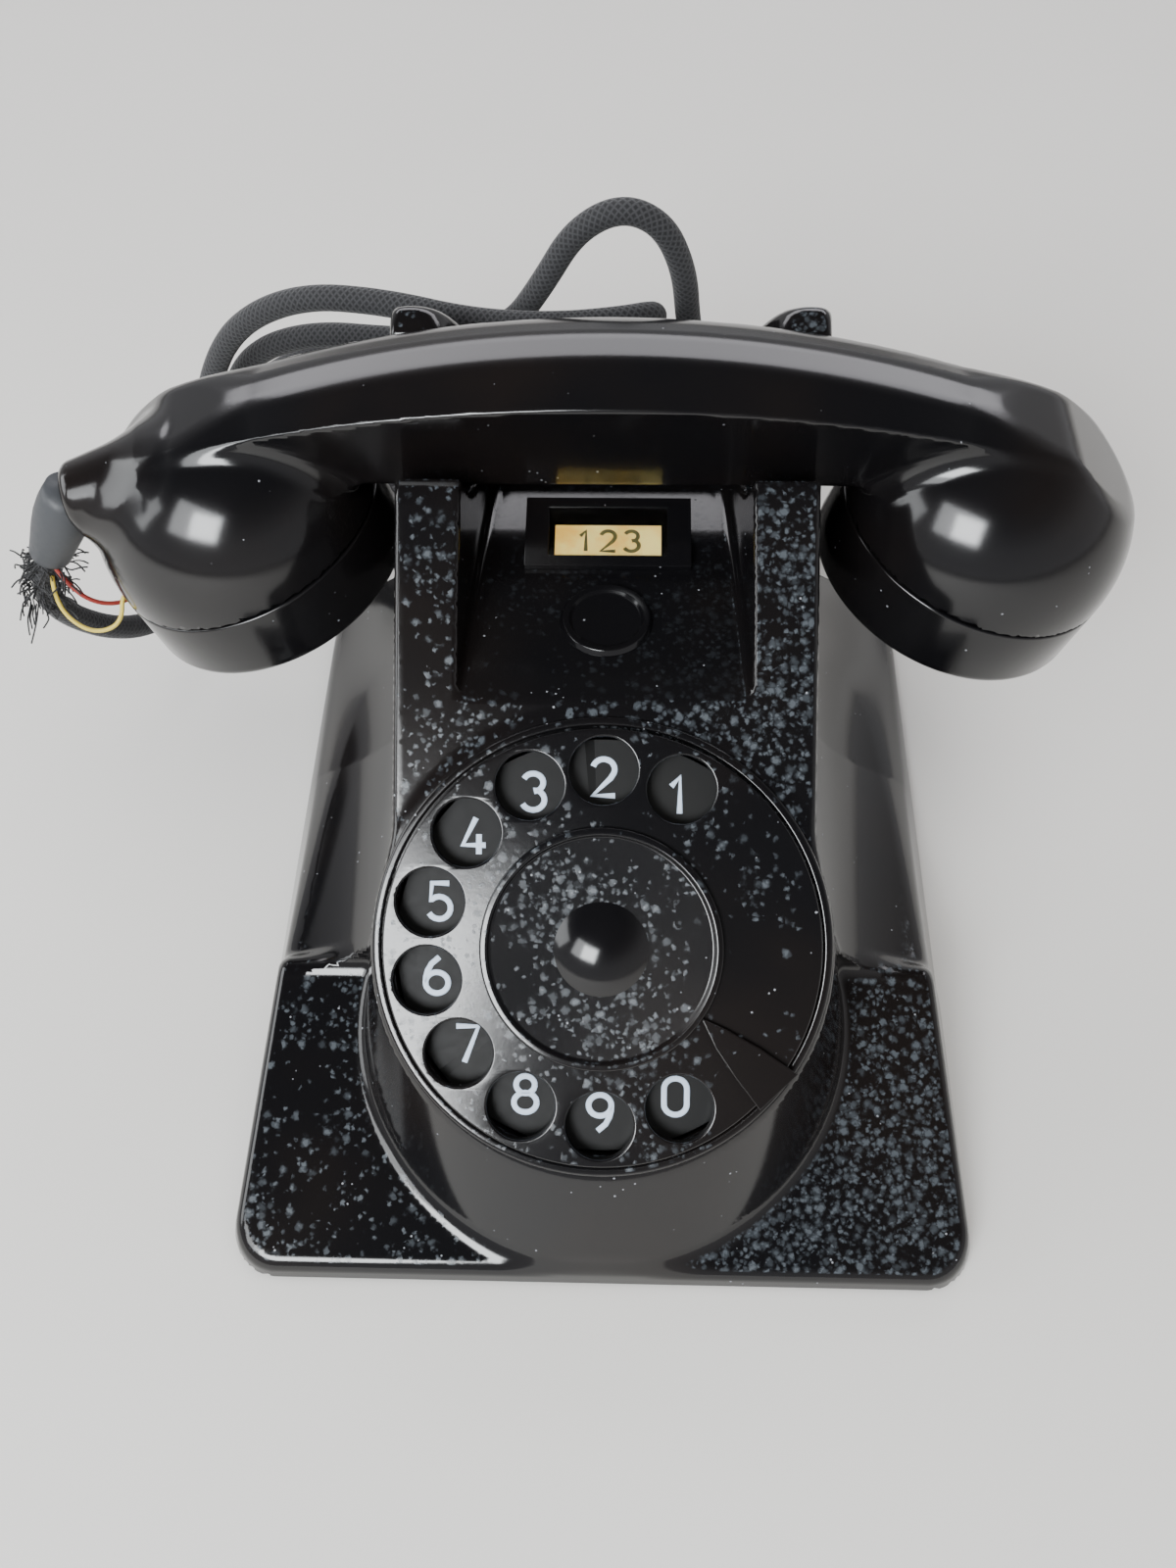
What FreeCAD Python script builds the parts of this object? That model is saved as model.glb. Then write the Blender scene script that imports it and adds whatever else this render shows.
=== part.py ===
"""Rotary desk telephone: a moulded housing, a dial in its sloping face and a handset across the cradle.

Millimetres. The origin is on the table under the middle of the housing, +X to the user's right,
+Y to the back, +Z up.
"""
import FreeCAD, Part
import math
import os

V = FreeCAD.Vector

# Housing
BASE_W = 169.0            # over the skirt
BASE_D = 204.0
SKIRT_Z0 = 1.5            # lower edge of the skirt above the table
SKIRT_H = 5.0             # top of the nearly upright skirt strip
CORNER_R = 11.0
WALL = 3.0
FACE_SLOPE = 36.0         # degrees from the table
FACE_HALF = 45.3          # half width of the face and the front pillars
REAR_HALF = 54.0          # half width of the body at the back
FLANK_Z = 62.0            # where the upright side turns into the hollow flank
SHOULDER_X = 78.0         # rounded outer edge of the flank, falling towards the back
SHOULDER_FRONT_Z = 26.0
SHOULDER_MIDDLE_Z = 14.0
SHOULDER_REAR_Z = 9.0
TOE_FRONT_Z = 7.0         # the low wings beside the drum
TOE_REAR_Z = 29.0
TOE_REAR_Y = -35.0
PILLAR_Y = 30.5           # top of the face, where the pillars end
HORN_Z = 129.5
LEDGE_Z = 108.0           # shelf behind the rear horns
RECESS_Z = 92.0           # sunken floor between the pillars
PLUG_Y = 17.0
CARD_Y = 41.5
CARD_Z = 95.1
CARD_TILT = 10.7

# Dial, in a frame of its own with +Z out of the face
DIAL_Y = -47.7
DIAL_Z = 61.3
RING_R = 49.0
WHEEL_R = 46.4
WHEEL_Z = 0.5
WHEEL_T = 3.1
HOLE_R = 7.25
HOLE_PITCH_R = 37.5
DIGIT_PITCH_R = 36.0
HOLE_ANGLES = [26.0, 0.0, -24.5, -50.0, -75.5, -101.0, -127.0, -153.5, -180.0, -206.6]
STOP_ANGLE = 125.0        # clockwise from the top
OPENING_R = 44.6
PLATE_R = 44.2
PLATE_Z = -3.2
PLATE_T = 1.6
CENTRE_R = 25.7
DOME_R = 10.0
DOME_H = 3.6
SPINDLE_R = 3.0
PINION_X = 29.5
WORM_X = 19.7
WORM_Z = -15.2
CASE_Z = -10.0            # underside of the dial case
MAIN_TEETH = 60
PINION_TEETH = 24
WHEEL_TEETH = 26

# Handset
GRIP_Y = 52.0
GRIP_Z = 122.7
GRIP_H = 32.0
GRIP_SECTION = [(8.5, -16.0), (16.0, 12.0), (4.0, 16.0), (-4.0, 16.0), (-16.0, 12.0), (-8.5, -16.0)]
GRIP_ARCH_R = 291.0
SADDLE_R = 18.4
CUP_X = 87.0
CUP_Z = 87.5
CUP_TILT = 17.0
CUP_R = 34.0
CAP_H = 18.0

# Switch, fixings and inlets
PLUNGER_X = 38.0
PLUNGER_R = 2.5
PLUNGER_Z0 = 70.0
SWITCH_Y = 84.0
POSTS = [(-68, -70), (68, -70), (-66, 84), (66, 84)]
FEET = [(-55, -86), (55, -86), (-50, 88), (50, 88)]
PLATE_BOTTOM = 2.2
PLATE_TOP = 3.4
GLAND_XS = {"handset_cord_gland": -24.0, "line_cord_gland": 24.0}
GLAND_Z = 13.0
GLAND_R = 5.0
RUNNING = 0.06            # radial clearance of a shaft in its bearing

# Cords: textile-braided leads, with their spare length coiled on the table behind the housing
CORD_D = 6.3
BOSS_START = (-108.0, 44.0, 111.0)
BOSS_END = (-122.7, 41.7, 104.1)
BUSH_AXIS = (-0.48, -0.04, -0.876)
BUSH_L = 20.0
GLAND_END_Y = 114.0
COILS = {"handset_cord_coil": (52.0, 166.0, 29.0, 44.5), "line_cord_coil": (-88.0, 172.0, 26.0, 48.0)}
COIL_H = 13.2
PLUG_AT = (-19.0, 172.0, 11.5)

# From the bush on the handset, down behind the mouthpiece, over the ledge and down to its coil
HANDSET_LEAD = [
    (-132.5, 40.9, 86.2), (-138.1, 40.4, 76.0), (-137.5, 44.5, 61.0), (-131.0, 55.0, 43.0),
    (-125.5, 72.0, 29.0), (-121.0, 90.0, 27.0), (-118.0, 103.0, 39.0), (-114.0, 108.0, 60.0),
    (-107.0, 107.0, 84.0), (-95.0, 104.0, 104.0), (-76.0, 100.0, 115.5), (-55.0, 97.0, 116.0),
    (-34.0, 94.0, 112.6), (-14.0, 93.0, 112.2), (2.0, 94.5, 112.8), (11.5, 101.0, 110.0),
    (8.5, 109.0, 101.0), (1.0, 113.0, 86.0), (-2.5, 116.0, 66.0), (0.5, 119.0, 44.0),
    (7.5, 125.0, 23.0), (20.0, 130.0, 7.5), (37.0, 127.5, 3.6)]
# From the coil back to the housing
HANDSET_TAIL = [
    (10.5, 166.0, 9.5), (10.0, 151.0, 6.5), (2.0, 138.0, 4.6), (-12.0, 132.5, 6.5),
    (-23.5, 126.5, 11.5), (-24.0, 114.2, 13.0)]
# From the housing up to the standing loop, down to the left and on to its coil
LINE_LEAD = [
    (24.0, 114.2, 13.0), (24.0, 124.0, 13.2), (25.0, 131.0, 22.0), (26.0, 130.0, 38.0),
    (25.0, 124.0, 60.0), (22.0, 115.0, 83.0), (19.0, 108.5, 102.0), (17.5, 106.5, 118.0),
    (12.0, 106.0, 131.0), (2.0, 106.0, 135.5), (-9.0, 106.0, 129.0), (-17.0, 105.5, 115.0),
    (-25.0, 106.5, 102.5), (-38.0, 108.0, 96.0), (-57.0, 110.0, 95.0), (-78.0, 112.0, 95.5),
    (-96.0, 115.0, 87.0), (-107.0, 120.0, 68.0), (-113.0, 127.0, 45.0), (-119.0, 136.0, 23.0),
    (-127.0, 146.0, 9.0), (-131.5, 160.0, 3.6)]
# From the coil to the plug
LINE_TAIL = [
    (-78.0, 213.5, 9.6), (-62.0, 216.5, 8.6), (-45.0, 219.0, 7.6), (-29.5, 219.5, 9.0),
    (-19.5, 212.0, 11.3), (-19.0, 199.8, 11.5)]

PARTS = {}


def save(name, *solids):
    """Keep one node: a solid, or a group of separate solids."""
    PARTS[name] = solids[0] if len(solids) == 1 else Part.makeCompound(list(solids))


def cyl(radius, height, at=(0, 0, 0), axis=(0, 0, 1)):
    return Part.makeCylinder(radius, height, V(*at), V(*axis))


def ring(outer, inner, height, at=(0, 0, 0), axis=(0, 0, 1)):
    return cyl(outer, height, at, axis).cut(cyl(inner, height, at, axis))


def block(x0, x1, y0, y1, z0, z1):
    return Part.makeBox(x1 - x0, y1 - y0, z1 - z0, V(x0, y0, z0))


def polygon(points):
    corners = [V(*p) for p in points]
    return Part.makePolygon(corners + corners[:1])


def prism(points, direction):
    return Part.Face(polygon(points)).extrude(V(*direction))


def turned(profile):
    """Revolve an outline of (r, z) points about Z."""
    return Part.Face(polygon([(r, 0, z) for r, z in profile])).revolve(V(0, 0, 0), V(0, 0, 1), 360)


def placed(shape, at, about=(0, 0, 1), angle=0.0):
    moved = shape.copy()
    moved.Placement = FreeCAD.Placement(V(*at), FreeCAD.Rotation(V(*about), angle)).multiply(moved.Placement)
    return moved


def on_dial(shape):
    """From the dial's own frame to the telephone's."""
    return placed(shape, (0, DIAL_Y, DIAL_Z), (1, 0, 0), FACE_SLOPE)


def on_card(shape):
    """From the number card's frame, +Z out of the card, to the telephone's."""
    return placed(shape, (0, CARD_Y, CARD_Z), (1, 0, 0), CARD_TILT)


def face_z(y):
    """Height of the sloping face at depth y."""
    return DIAL_Z + (y - DIAL_Y) * math.tan(math.radians(FACE_SLOPE))


def round_rect(half_x, y0, y1, z, r):
    """A level rectangle with round corners, as a wire."""
    centres = [(half_x - r, y0 + r), (half_x - r, y1 - r), (-half_x + r, y1 - r), (-half_x + r, y0 + r)]
    corners = []
    for i, (cx, cy) in enumerate(centres):
        turns = [math.radians(90 * i - 90 + a) for a in (0, 45, 90)]
        corners.append([V(cx + r * math.cos(t), cy + r * math.sin(t), z) for t in turns])
    edges = []
    for i, corner in enumerate(corners):
        edges.append(Part.Arc(*corner).toShape())
        edges.append(Part.makeLine(corner[2], corners[(i + 1) % 4][0]))
    return Part.Wire(edges)


# ---- Housing ----

def footprint(inset):
    """The space over the base, drawn in towards the top by the mould's draft."""
    half = BASE_W / 2 - inset
    y0 = -BASE_D / 2 + inset
    y1 = BASE_D / 2 - inset
    r = CORNER_R - inset
    foot = round_rect(half, y0, y1, 0, r)
    strip = round_rect(half - 0.6, y0 + 0.6, y1 - 0.4, SKIRT_H, r)
    top = round_rect(half - 38, y0 + 20, y1 - 13, 140, r)
    return Part.makeLoft([foot, strip], True, True).fuse(Part.makeLoft([strip, top], True, True))


def flank_wire(half, shoulder_z, inset, y):
    """Cross-section of the body: upright beside the face, a hollow flank, then a steep outer edge."""
    near = half - inset
    foot = BASE_W / 2 - inset
    edge_x = SHOULDER_X - inset
    edge_z = shoulder_z - inset
    run = edge_x - near
    fall = FLANK_Z - edge_z
    r = (run ** 2 + fall ** 2) / (2 * run)
    half_turn = math.atan2(fall, r - run) / 2
    hollow = (near + r - r * math.cos(half_turn), FLANK_Z - r * math.sin(half_turn))
    edges = [Part.makeLine(V(near, y, 140), V(-near, y, 140)), Part.makeLine(V(-foot, y, 0), V(foot, y, 0))]
    for side in (1, -1):
        outline = [(foot, 0), (foot, SKIRT_H), (edge_x, edge_z), hollow, (near, FLANK_Z), (near, 140)]
        p = [V(side * x, y, z) for x, z in outline]
        edges += [Part.makeLine(p[0], p[1]), Part.makeLine(p[1], p[2])]
        edges += [Part.Arc(p[2], p[3], p[4]).toShape(), Part.makeLine(p[4], p[5])]
    return Part.Wire(Part.__sortEdges__(edges))


def drum(inset):
    """The apron under the dial, from a level oval at the table to the rim in the face."""
    rim = Part.Wire(Part.Circle(V(0, 0, -1.2 * inset), V(0, 0, 1), RING_R + 0.4 - inset).toShape())
    foot = Part.Wire(Part.Ellipse(V(0, -48, 0), 60 - inset, 57.5 - inset).toShape())
    return Part.makeLoft([foot, on_dial(rim)], True)


def outer_body(inset):
    """The moulded form without its openings, drawn in by inset."""
    front = flank_wire(FACE_HALF, SHOULDER_FRONT_Z, inset, -45)
    middle = flank_wire(FACE_HALF, SHOULDER_MIDDLE_Z, inset, 30)
    rear = flank_wire(REAR_HALF, SHOULDER_REAR_Z, inset, BASE_D / 2)
    body = Part.makeLoft([front, middle], True, True).fuse(Part.makeLoft([middle, rear], True, True))
    drop = inset / math.cos(math.radians(FACE_SLOPE))
    tip = face_z(PILLAR_Y) - drop
    back = BASE_D / 2 - inset
    side = [(-45, 0), (-45, face_z(-45) - drop), (PILLAR_Y, tip), (60, tip), (71, HORN_Z - inset)]
    side += [(79 - inset, HORN_Z - inset), (87 - inset, LEDGE_Z - inset)]
    side += [(back - 4, LEDGE_Z - inset), (back, 0)]
    body = body.common(prism([(-100, y, z) for y, z in side], (200, 0, 0)))
    toe = [(-BASE_D / 2, 0), (-BASE_D / 2, TOE_FRONT_Z - inset), (TOE_REAR_Y - 2, TOE_REAR_Z - inset)]
    toe += [(TOE_REAR_Y + 1 - inset, TOE_REAR_Z - 2 - inset), (TOE_REAR_Y + 3 - inset, 0)]
    wings = prism([(-100, y, z) for y, z in toe], (200, 0, 0))
    return body.fuse([wings, drum(inset)]).common(footprint(inset))


def recess(grow):
    """The sunken floor between the pillars, running back between the rear horns."""
    low = RECESS_Z - grow
    front = 31.5 + grow
    rear = 27.5 + grow
    floor = [(-front, -5.5 - grow), (front, -5.5 - grow), (rear, 62.0), (-rear, 62.0)]
    rims = [polygon([(wider * x, y, z) for x, y in floor]) for wider, z in ((1.0, low), (1.14, 150))]
    notch = [(-29 - grow, 106 - grow), (29 + grow, 106 - grow), (36 + grow, 150), (-36 - grow, 150)]
    return Part.makeLoft(rims, True, True).fuse(prism([(x, 50, z) for x, z in notch], (0, 60, 0)))


def saddle(grow):
    """Room for the grip of the handset, open at the top."""
    r = SADDLE_R + grow
    above = block(-100, 100, GRIP_Y - r, GRIP_Y + r, GRIP_Z, 165)
    return above.fuse(cyl(r, 200, (-100, GRIP_Y, GRIP_Z), (1, 0, 0)))


def make_housing():
    shell = outer_body(0).cut(recess(0)).cut(saddle(0))
    inside = outer_body(WALL).cut(recess(WALL)).cut(saddle(WALL))
    shell = shell.cut(inside).cut(block(-100, 100, -110, 110, -1, SKIRT_Z0))
    posts = [cyl(4.2, 40, (x, y, PLATE_TOP + 0.2)) for x, y in POSTS]
    shell = shell.fuse(posts[0].fuse(posts[1:]).common(outer_body(1)))
    holes = [cyl(1.6, 9.0, (x, y, 3.0)) for x, y in POSTS]
    holes.append(on_dial(cyl(OPENING_R, 14, (0, 0, -10))))
    for x in (-PLUNGER_X, PLUNGER_X):
        holes.append(cyl(PLUNGER_R + RUNNING, 30, (x, GRIP_Y, GRIP_Z - SADDLE_R - 20)))
    for x in GLAND_XS.values():
        holes.append(cyl(GLAND_R, 20, (x, 90, GLAND_Z), (0, 1, 0)))
    holes.append(cyl(8.0, 12, (0, PLUG_Y, 84)))
    for hole in holes:
        shell = shell.cut(hole)
    save("housing", shell)


def make_underside():
    half = BASE_W / 2 - WALL - 0.8
    edge = BASE_D / 2 - WALL - 0.8
    outline = round_rect(half, -edge, edge, PLATE_BOTTOM, CORNER_R - WALL)
    plate = Part.Face(outline).extrude(V(0, 0, PLATE_TOP - PLATE_BOTTOM))
    for x, y in POSTS + FEET:
        plate = plate.cut(cyl(2.0, 4, (x, y, 1)))
    save("base_plate", plate)
    feet = [cyl(7.5, PLATE_BOTTOM, (x, y, 0)).fuse(cyl(1.9, 2.6, (x, y, PLATE_BOTTOM))) for x, y in FEET]
    save("rubber_feet", *feet)
    screws = [cyl(3.4, 1.3, (x, y, 0.9)).fuse(cyl(1.5, 8.4, (x, y, PLATE_BOTTOM))) for x, y in POSTS]
    save("base_screws", *screws)


def make_recess_pieces():
    front = CARD_Y - 9.2
    rear = CARD_Y + 9.0
    side = [(front, RECESS_Z), (front, RECESS_Z + 1.4), (rear, RECESS_Z + 4.85), (rear, RECESS_Z)]
    wedge = prism([(-19, y, z) for y, z in side], (38, 0, 0))
    pocket = on_card(block(-15.1, 15.1, -7.6, 7.6, -1.75, -0.65))
    sight = on_card(block(-13.5, 13.5, -6.5, 6.5, -1, 2))
    save("card_frame", wedge.cut(pocket).cut(sight))
    save("number_card", on_card(block(-15, 15, -7.5, 7.5, -1.7, -1.25)))
    save("card_window", on_card(block(-15, 15, -7.5, 7.5, -1.2, -0.7)))
    profile = [(0, -6), (8.7, -6), (7.8, -3), (7.8, 0), (10.3, 0), (10.3, 1.0), (9.6, 1.4), (8.8, 1.0)]
    profile += [(8.6, 0.7), (0, 0.7)]
    save("blanking_plug", placed(turned(profile), (0, PLUG_Y, RECESS_Z)))


# ---- Dial ----

BARS_OF_FIGURE = ["abcdef", "bc", "abged", "abgcd", "fgbc", "afgcd", "afgedc", "abc", "abcdefg", "abcdfg"]
LEVEL_BARS = {"a": 4.0, "g": 0.0, "d": -4.0}                            # height of the bar's middle
UPRIGHT_BARS = {"b": (2.2, 2.0), "c": (2.2, -2.0), "e": (-2.2, -2.0), "f": (-2.2, 2.0)}
BAR_W = 1.1


def numeral(value, height, at_z):
    """A raised figure made of straight bars."""
    bars = []
    for key in BARS_OF_FIGURE[value]:
        x, y = UPRIGHT_BARS.get(key, (0.0, LEVEL_BARS.get(key)))
        half_x, half_y = (BAR_W / 2, 2.05) if key in UPRIGHT_BARS else (2.25, BAR_W / 2)
        bars.append(block(x - half_x, x + half_x, y - half_y, y + half_y, at_z, at_z + height))
    return bars[0].fuse(bars[1:]).removeSplitter()


def round_the_dial(angle, radius):
    """A place on the dial at an angle clockwise from the top."""
    a = math.radians(angle)
    return radius * math.sin(a), radius * math.cos(a)


def toothed(radius, depth, count, height, z):
    """A gear drawn with square-cut teeth."""
    gear = cyl(radius, height, (0, 0, z))
    width = math.pi * radius / count
    for i in range(count):
        gap = block(radius - depth, radius + 1, -width / 2, width / 2, z, z + height)
        gear = gear.cut(placed(gap, (0, 0, 0), (0, 0, 1), 360.0 * i / count))
    return gear


def make_dial_outside():
    profile = [(46.9, 0), (RING_R, 0), (RING_R, 1.2), (48.4, 2.2), (47.5, 2.2), (46.9, 1.5)]
    save("dial_ring", on_dial(turned(profile)))
    save("number_plate", on_dial(ring(PLATE_R, 4.0, PLATE_T, (0, 0, PLATE_Z))))
    figures = []
    for i, angle in enumerate(HOLE_ANGLES):
        x, y = round_the_dial(angle, DIGIT_PITCH_R)
        figures.append(on_dial(placed(numeral((i + 1) % 10, 0.15, PLATE_Z + PLATE_T), (x, y, 0))))
    save("dial_numerals", *figures)
    wheel = ring(WHEEL_R, SPINDLE_R, WHEEL_T, (0, 0, WHEEL_Z))
    for angle in HOLE_ANGLES:
        x, y = round_the_dial(angle, HOLE_PITCH_R)
        wheel = wheel.cut(cyl(HOLE_R, 8, (x, y, -2)))
    save("finger_wheel", on_dial(wheel))
    top = WHEEL_Z + WHEEL_T
    base = top + 0.8
    profile = [(0, top), (CENTRE_R, top), (CENTRE_R, top + 1.2), (24.9, top + 1.7), (24.1, top + 1.2)]
    save("centre_disc", on_dial(turned(profile + [(23.9, base), (0, base)])))
    sphere_r = (DOME_R ** 2 + DOME_H ** 2) / (2 * DOME_H)
    ball = Part.makeSphere(sphere_r, V(0, 0, base + DOME_H - sphere_r))
    save("centre_knob", on_dial(ball.common(cyl(DOME_R + 1, DOME_H + 1, (0, 0, base)))))
    leaf = block(-1.6, 1.6, 27.5, RING_R, top + 0.5, top + 1.7)
    foot = block(-3, 3, 47.0, RING_R, 2.2, top + 1.7)
    save("finger_stop", on_dial(placed(leaf.fuse(foot), (0, 0, 0), (0, 0, 1), -STOP_ANGLE)))


def make_dial_movement():
    case = cyl(PLATE_R, 6.8, (0, 0, PLATE_Z - 6.8)).cut(cyl(42.8, 5.3, (0, 0, PLATE_Z - 5.3)))
    case = case.cut(cyl(6, 20, (0, 0, -20))).cut(cyl(1.5 + RUNNING, 20, (PINION_X, 0, -20)))
    for y in (-10, 18):
        stand = block(WORM_X - 3, WORM_X + 3, y, y + 2.5, -17.8, CASE_Z)
        case = case.fuse(stand.cut(cyl(1.2 + RUNNING, 6, (WORM_X, y - 1, WORM_Z), (0, 1, 0))))
    cup = ring(5.6, 4.6, 6, (WORM_X, 23, WORM_Z), (0, 1, 0))
    save("dial_case", on_dial(case.fuse(cup).removeSplitter()))
    save("dial_bush", on_dial(ring(6, SPINDLE_R + RUNNING, 11.8, (0, 0, -16))))
    save("dial_spindle", on_dial(cyl(SPINDLE_R, 25.6, (0, 0, -22))))
    gear = toothed(21, 0.9, MAIN_TEETH, 2, -20.5).cut(cyl(SPINDLE_R, 4, (0, 0, -21)))
    save("main_gear", on_dial(gear))
    save("spring_barrel", on_dial(ring(16.5, 15.3, 7.5, (0, 0, -17.5))))
    save("return_spring", on_dial(ring(14.4, 6.6, 5.5, (0, 0, -16.5))))
    shaft = cyl(1.5, 20, (PINION_X, 0, -25))
    save("pulse_shaft", on_dial(shaft))
    cluster = placed(toothed(8.2, 0.9, PINION_TEETH, 2.4, -20.7), (PINION_X, 0, 0))
    cluster = cluster.fuse(cyl(3.2, 9.7, (PINION_X, 0, -20.7)))
    cluster = cluster.fuse(placed(toothed(7.0, 0.8, WHEEL_TEETH, 2.2, -16.3), (PINION_X, 0, 0)))
    cam = cyl(6.5, 1.6, (PINION_X, 0, -12.6)).cut(block(PINION_X + 4.5, PINION_X + 9, -1.5, 1.5, -13, -10))
    save("pulse_gears", on_dial(cluster.fuse(cam).cut(shaft).removeSplitter()))
    turning = [(2.5, -4.5, 9), (1.2, -11, 42), (4.0, 24, 4)]      # worm, shaft and weights
    rods = [cyl(r, length, (WORM_X, y, WORM_Z), (0, 1, 0)) for r, y, length in turning]
    save("governor_worm", on_dial(rods[0].fuse(rods[1:]).removeSplitter()))
    leaves = [block(x, x + 0.4, -12, 12, -14, -11) for x in (36.5, 38.1)]
    save("pulse_contacts", *[on_dial(leaf) for leaf in leaves])
    save("contact_insulator", on_dial(block(36, 39.1, 12.2, 17, -14.5, -10.2)))


# ---- Ringer, switch and circuit ----

def make_ringer():
    frame = block(-24, 24, -9.5, -7, PLATE_TOP, 48).fuse(block(-24, 24, -7, 14, PLATE_TOP, 5.4))
    frame = frame.fuse(block(-3.3, 3.3, 6, 10, 5.4, 44))
    for z in (28, 42):
        frame = frame.fuse(block(-3.3, 3.3, 10, 23, z, z + 2))
    frame = frame.fuse(cyl(1.2, 16, (0, 20, 28)))
    save("ringer_frame", frame.removeSplitter())
    coils = []
    for x in (-13, 13):
        coils.append(cyl(8, 18, (x, -7, 36), (0, 1, 0)).fuse(cyl(3, 3.5, (x, 11, 36), (0, 1, 0))))
    save("ringer_coils", *coils)
    hub = ring(3.2, 1.2 + RUNNING, 10, (0, 20, 31))
    rod = cyl(1.0, 36, (0, 23, 36), (0, 1, 0))
    arm = block(-22, 22, 18.6, 21.4, 33, 39).cut(cyl(3.1, 20, (0, 20, 30)))
    save("clapper", hub.fuse([rod, arm, Part.makeSphere(2.2, V(0, 60, 36))]).removeSplitter())
    profile = [(2.5, 12), (14, 12), (20.8, 6), (22, 0), (20.8, 0), (19.7, 5.4), (13.5, 10.8), (2.5, 10.8)]
    spots = (-25.5, 25.5)
    save("bell_gongs", *[placed(turned(profile), (x, 62, 30)) for x in spots])
    posts = [cyl(4, 40.8 - PLATE_TOP, (x, 62, PLATE_TOP)).cut(cyl(2.4, 10, (x, 62, 33))) for x in spots]
    save("gong_posts", *posts)
    save("gong_screws", *[cyl(4.5, 2.5, (x, 62, 42)).fuse(cyl(2.3, 8, (x, 62, 34))) for x in spots])


def make_switch():
    plungers = []
    for x in (-PLUNGER_X, PLUNGER_X):
        stem = cyl(PLUNGER_R, GRIP_Z - GRIP_H / 2 - 0.4 - PLUNGER_Z0, (x, GRIP_Y, PLUNGER_Z0))
        plungers.append(stem.fuse(cyl(3.6, 1.2, (x, GRIP_Y, PLUNGER_Z0))))
    save("hook_plungers", *plungers)
    bar_top = PLUNGER_Z0 - 0.8
    lever = block(-43, 43, 50, 54, bar_top - 3, bar_top)
    for x in (-43, 39.5):
        lever = lever.fuse(block(x, x + 3.5, 54, SWITCH_Y + 3, bar_top - 3, bar_top))
    lever = lever.cut(cyl(1.5 + RUNNING, 200, (-100, SWITCH_Y, bar_top - 1.5), (1, 0, 0)))
    eyes = [ring(3, 1.5 + RUNNING, 3.5, (x, SWITCH_Y, bar_top - 1.5), (1, 0, 0)) for x in (-43, 39.5)]
    save("switch_lever", lever.fuse(eyes).removeSplitter())
    save("switch_pin", cyl(1.5, 92, (-46, SWITCH_Y, bar_top - 1.5), (1, 0, 0)))
    pivot = cyl(1.5, 100, (-50, SWITCH_Y, bar_top - 1.5), (1, 0, 0))
    save("switch_bracket", *[block(x, x + 2, 80, 91.5, 58, 75).cut(pivot) for x in (-46.2, 44.2)])
    leaves = [block(-4, 4, 54.5, 84, z, z + 0.4) for z in (48, 51, 54, 57)]
    save("switch_contacts", *leaves)
    save("switch_insulator", block(-6, 6, 84.2, 91, 46, 59.5))


def make_circuit():
    save("induction_coil", cyl(8, 36, (-38, 76, 14), (1, 0, 0)))
    save("capacitor", block(12, 42, 69, 83, PLATE_TOP + 0.2, 26))
    save("terminal_block", block(-44, -6, 32, 45, PLATE_TOP, 11))
    spots = [(-40 + 7.5 * i, 38.5) for i in range(5)]
    save("terminal_screws", *[cyl(2.4, 1.8, (x, y, 11)) for x, y in spots])


# ---- Handset ----

def cup_frame(shape, side):
    """From a cup's frame, +Z up from its seam, to the telephone's."""
    return placed(shape, (side * CUP_X, GRIP_Y, CUP_Z), (0, 1, 0), side * CUP_TILT)


def bell(points, top_h):
    """A solid of revolution with a smooth domed side, standing on its seam."""
    side = Part.BSplineCurve()
    side.interpolate([V(r, 0, h) for r, h in points])
    foot = Part.makeLine(V(0, 0, 0), V(points[0][0], 0, 0))
    axis = Part.makeLine(V(0, 0, top_h), V(0, 0, 0))
    outline = Part.Wire([foot, side.toShape(), axis])
    return Part.Face(outline).revolve(V(0, 0, 0), V(0, 0, 1), 360)


def grip():
    """The bar of the handset: six-sided, level below and arched on top."""
    bar = prism([(-96, GRIP_Y + y, GRIP_Z + z) for y, z in GRIP_SECTION], (192, 0, 0))
    return bar.common(cyl(GRIP_ARCH_R, 60, (0, GRIP_Y - 30, GRIP_Z + GRIP_H / 2 - GRIP_ARCH_R), (0, 1, 0)))


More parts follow.
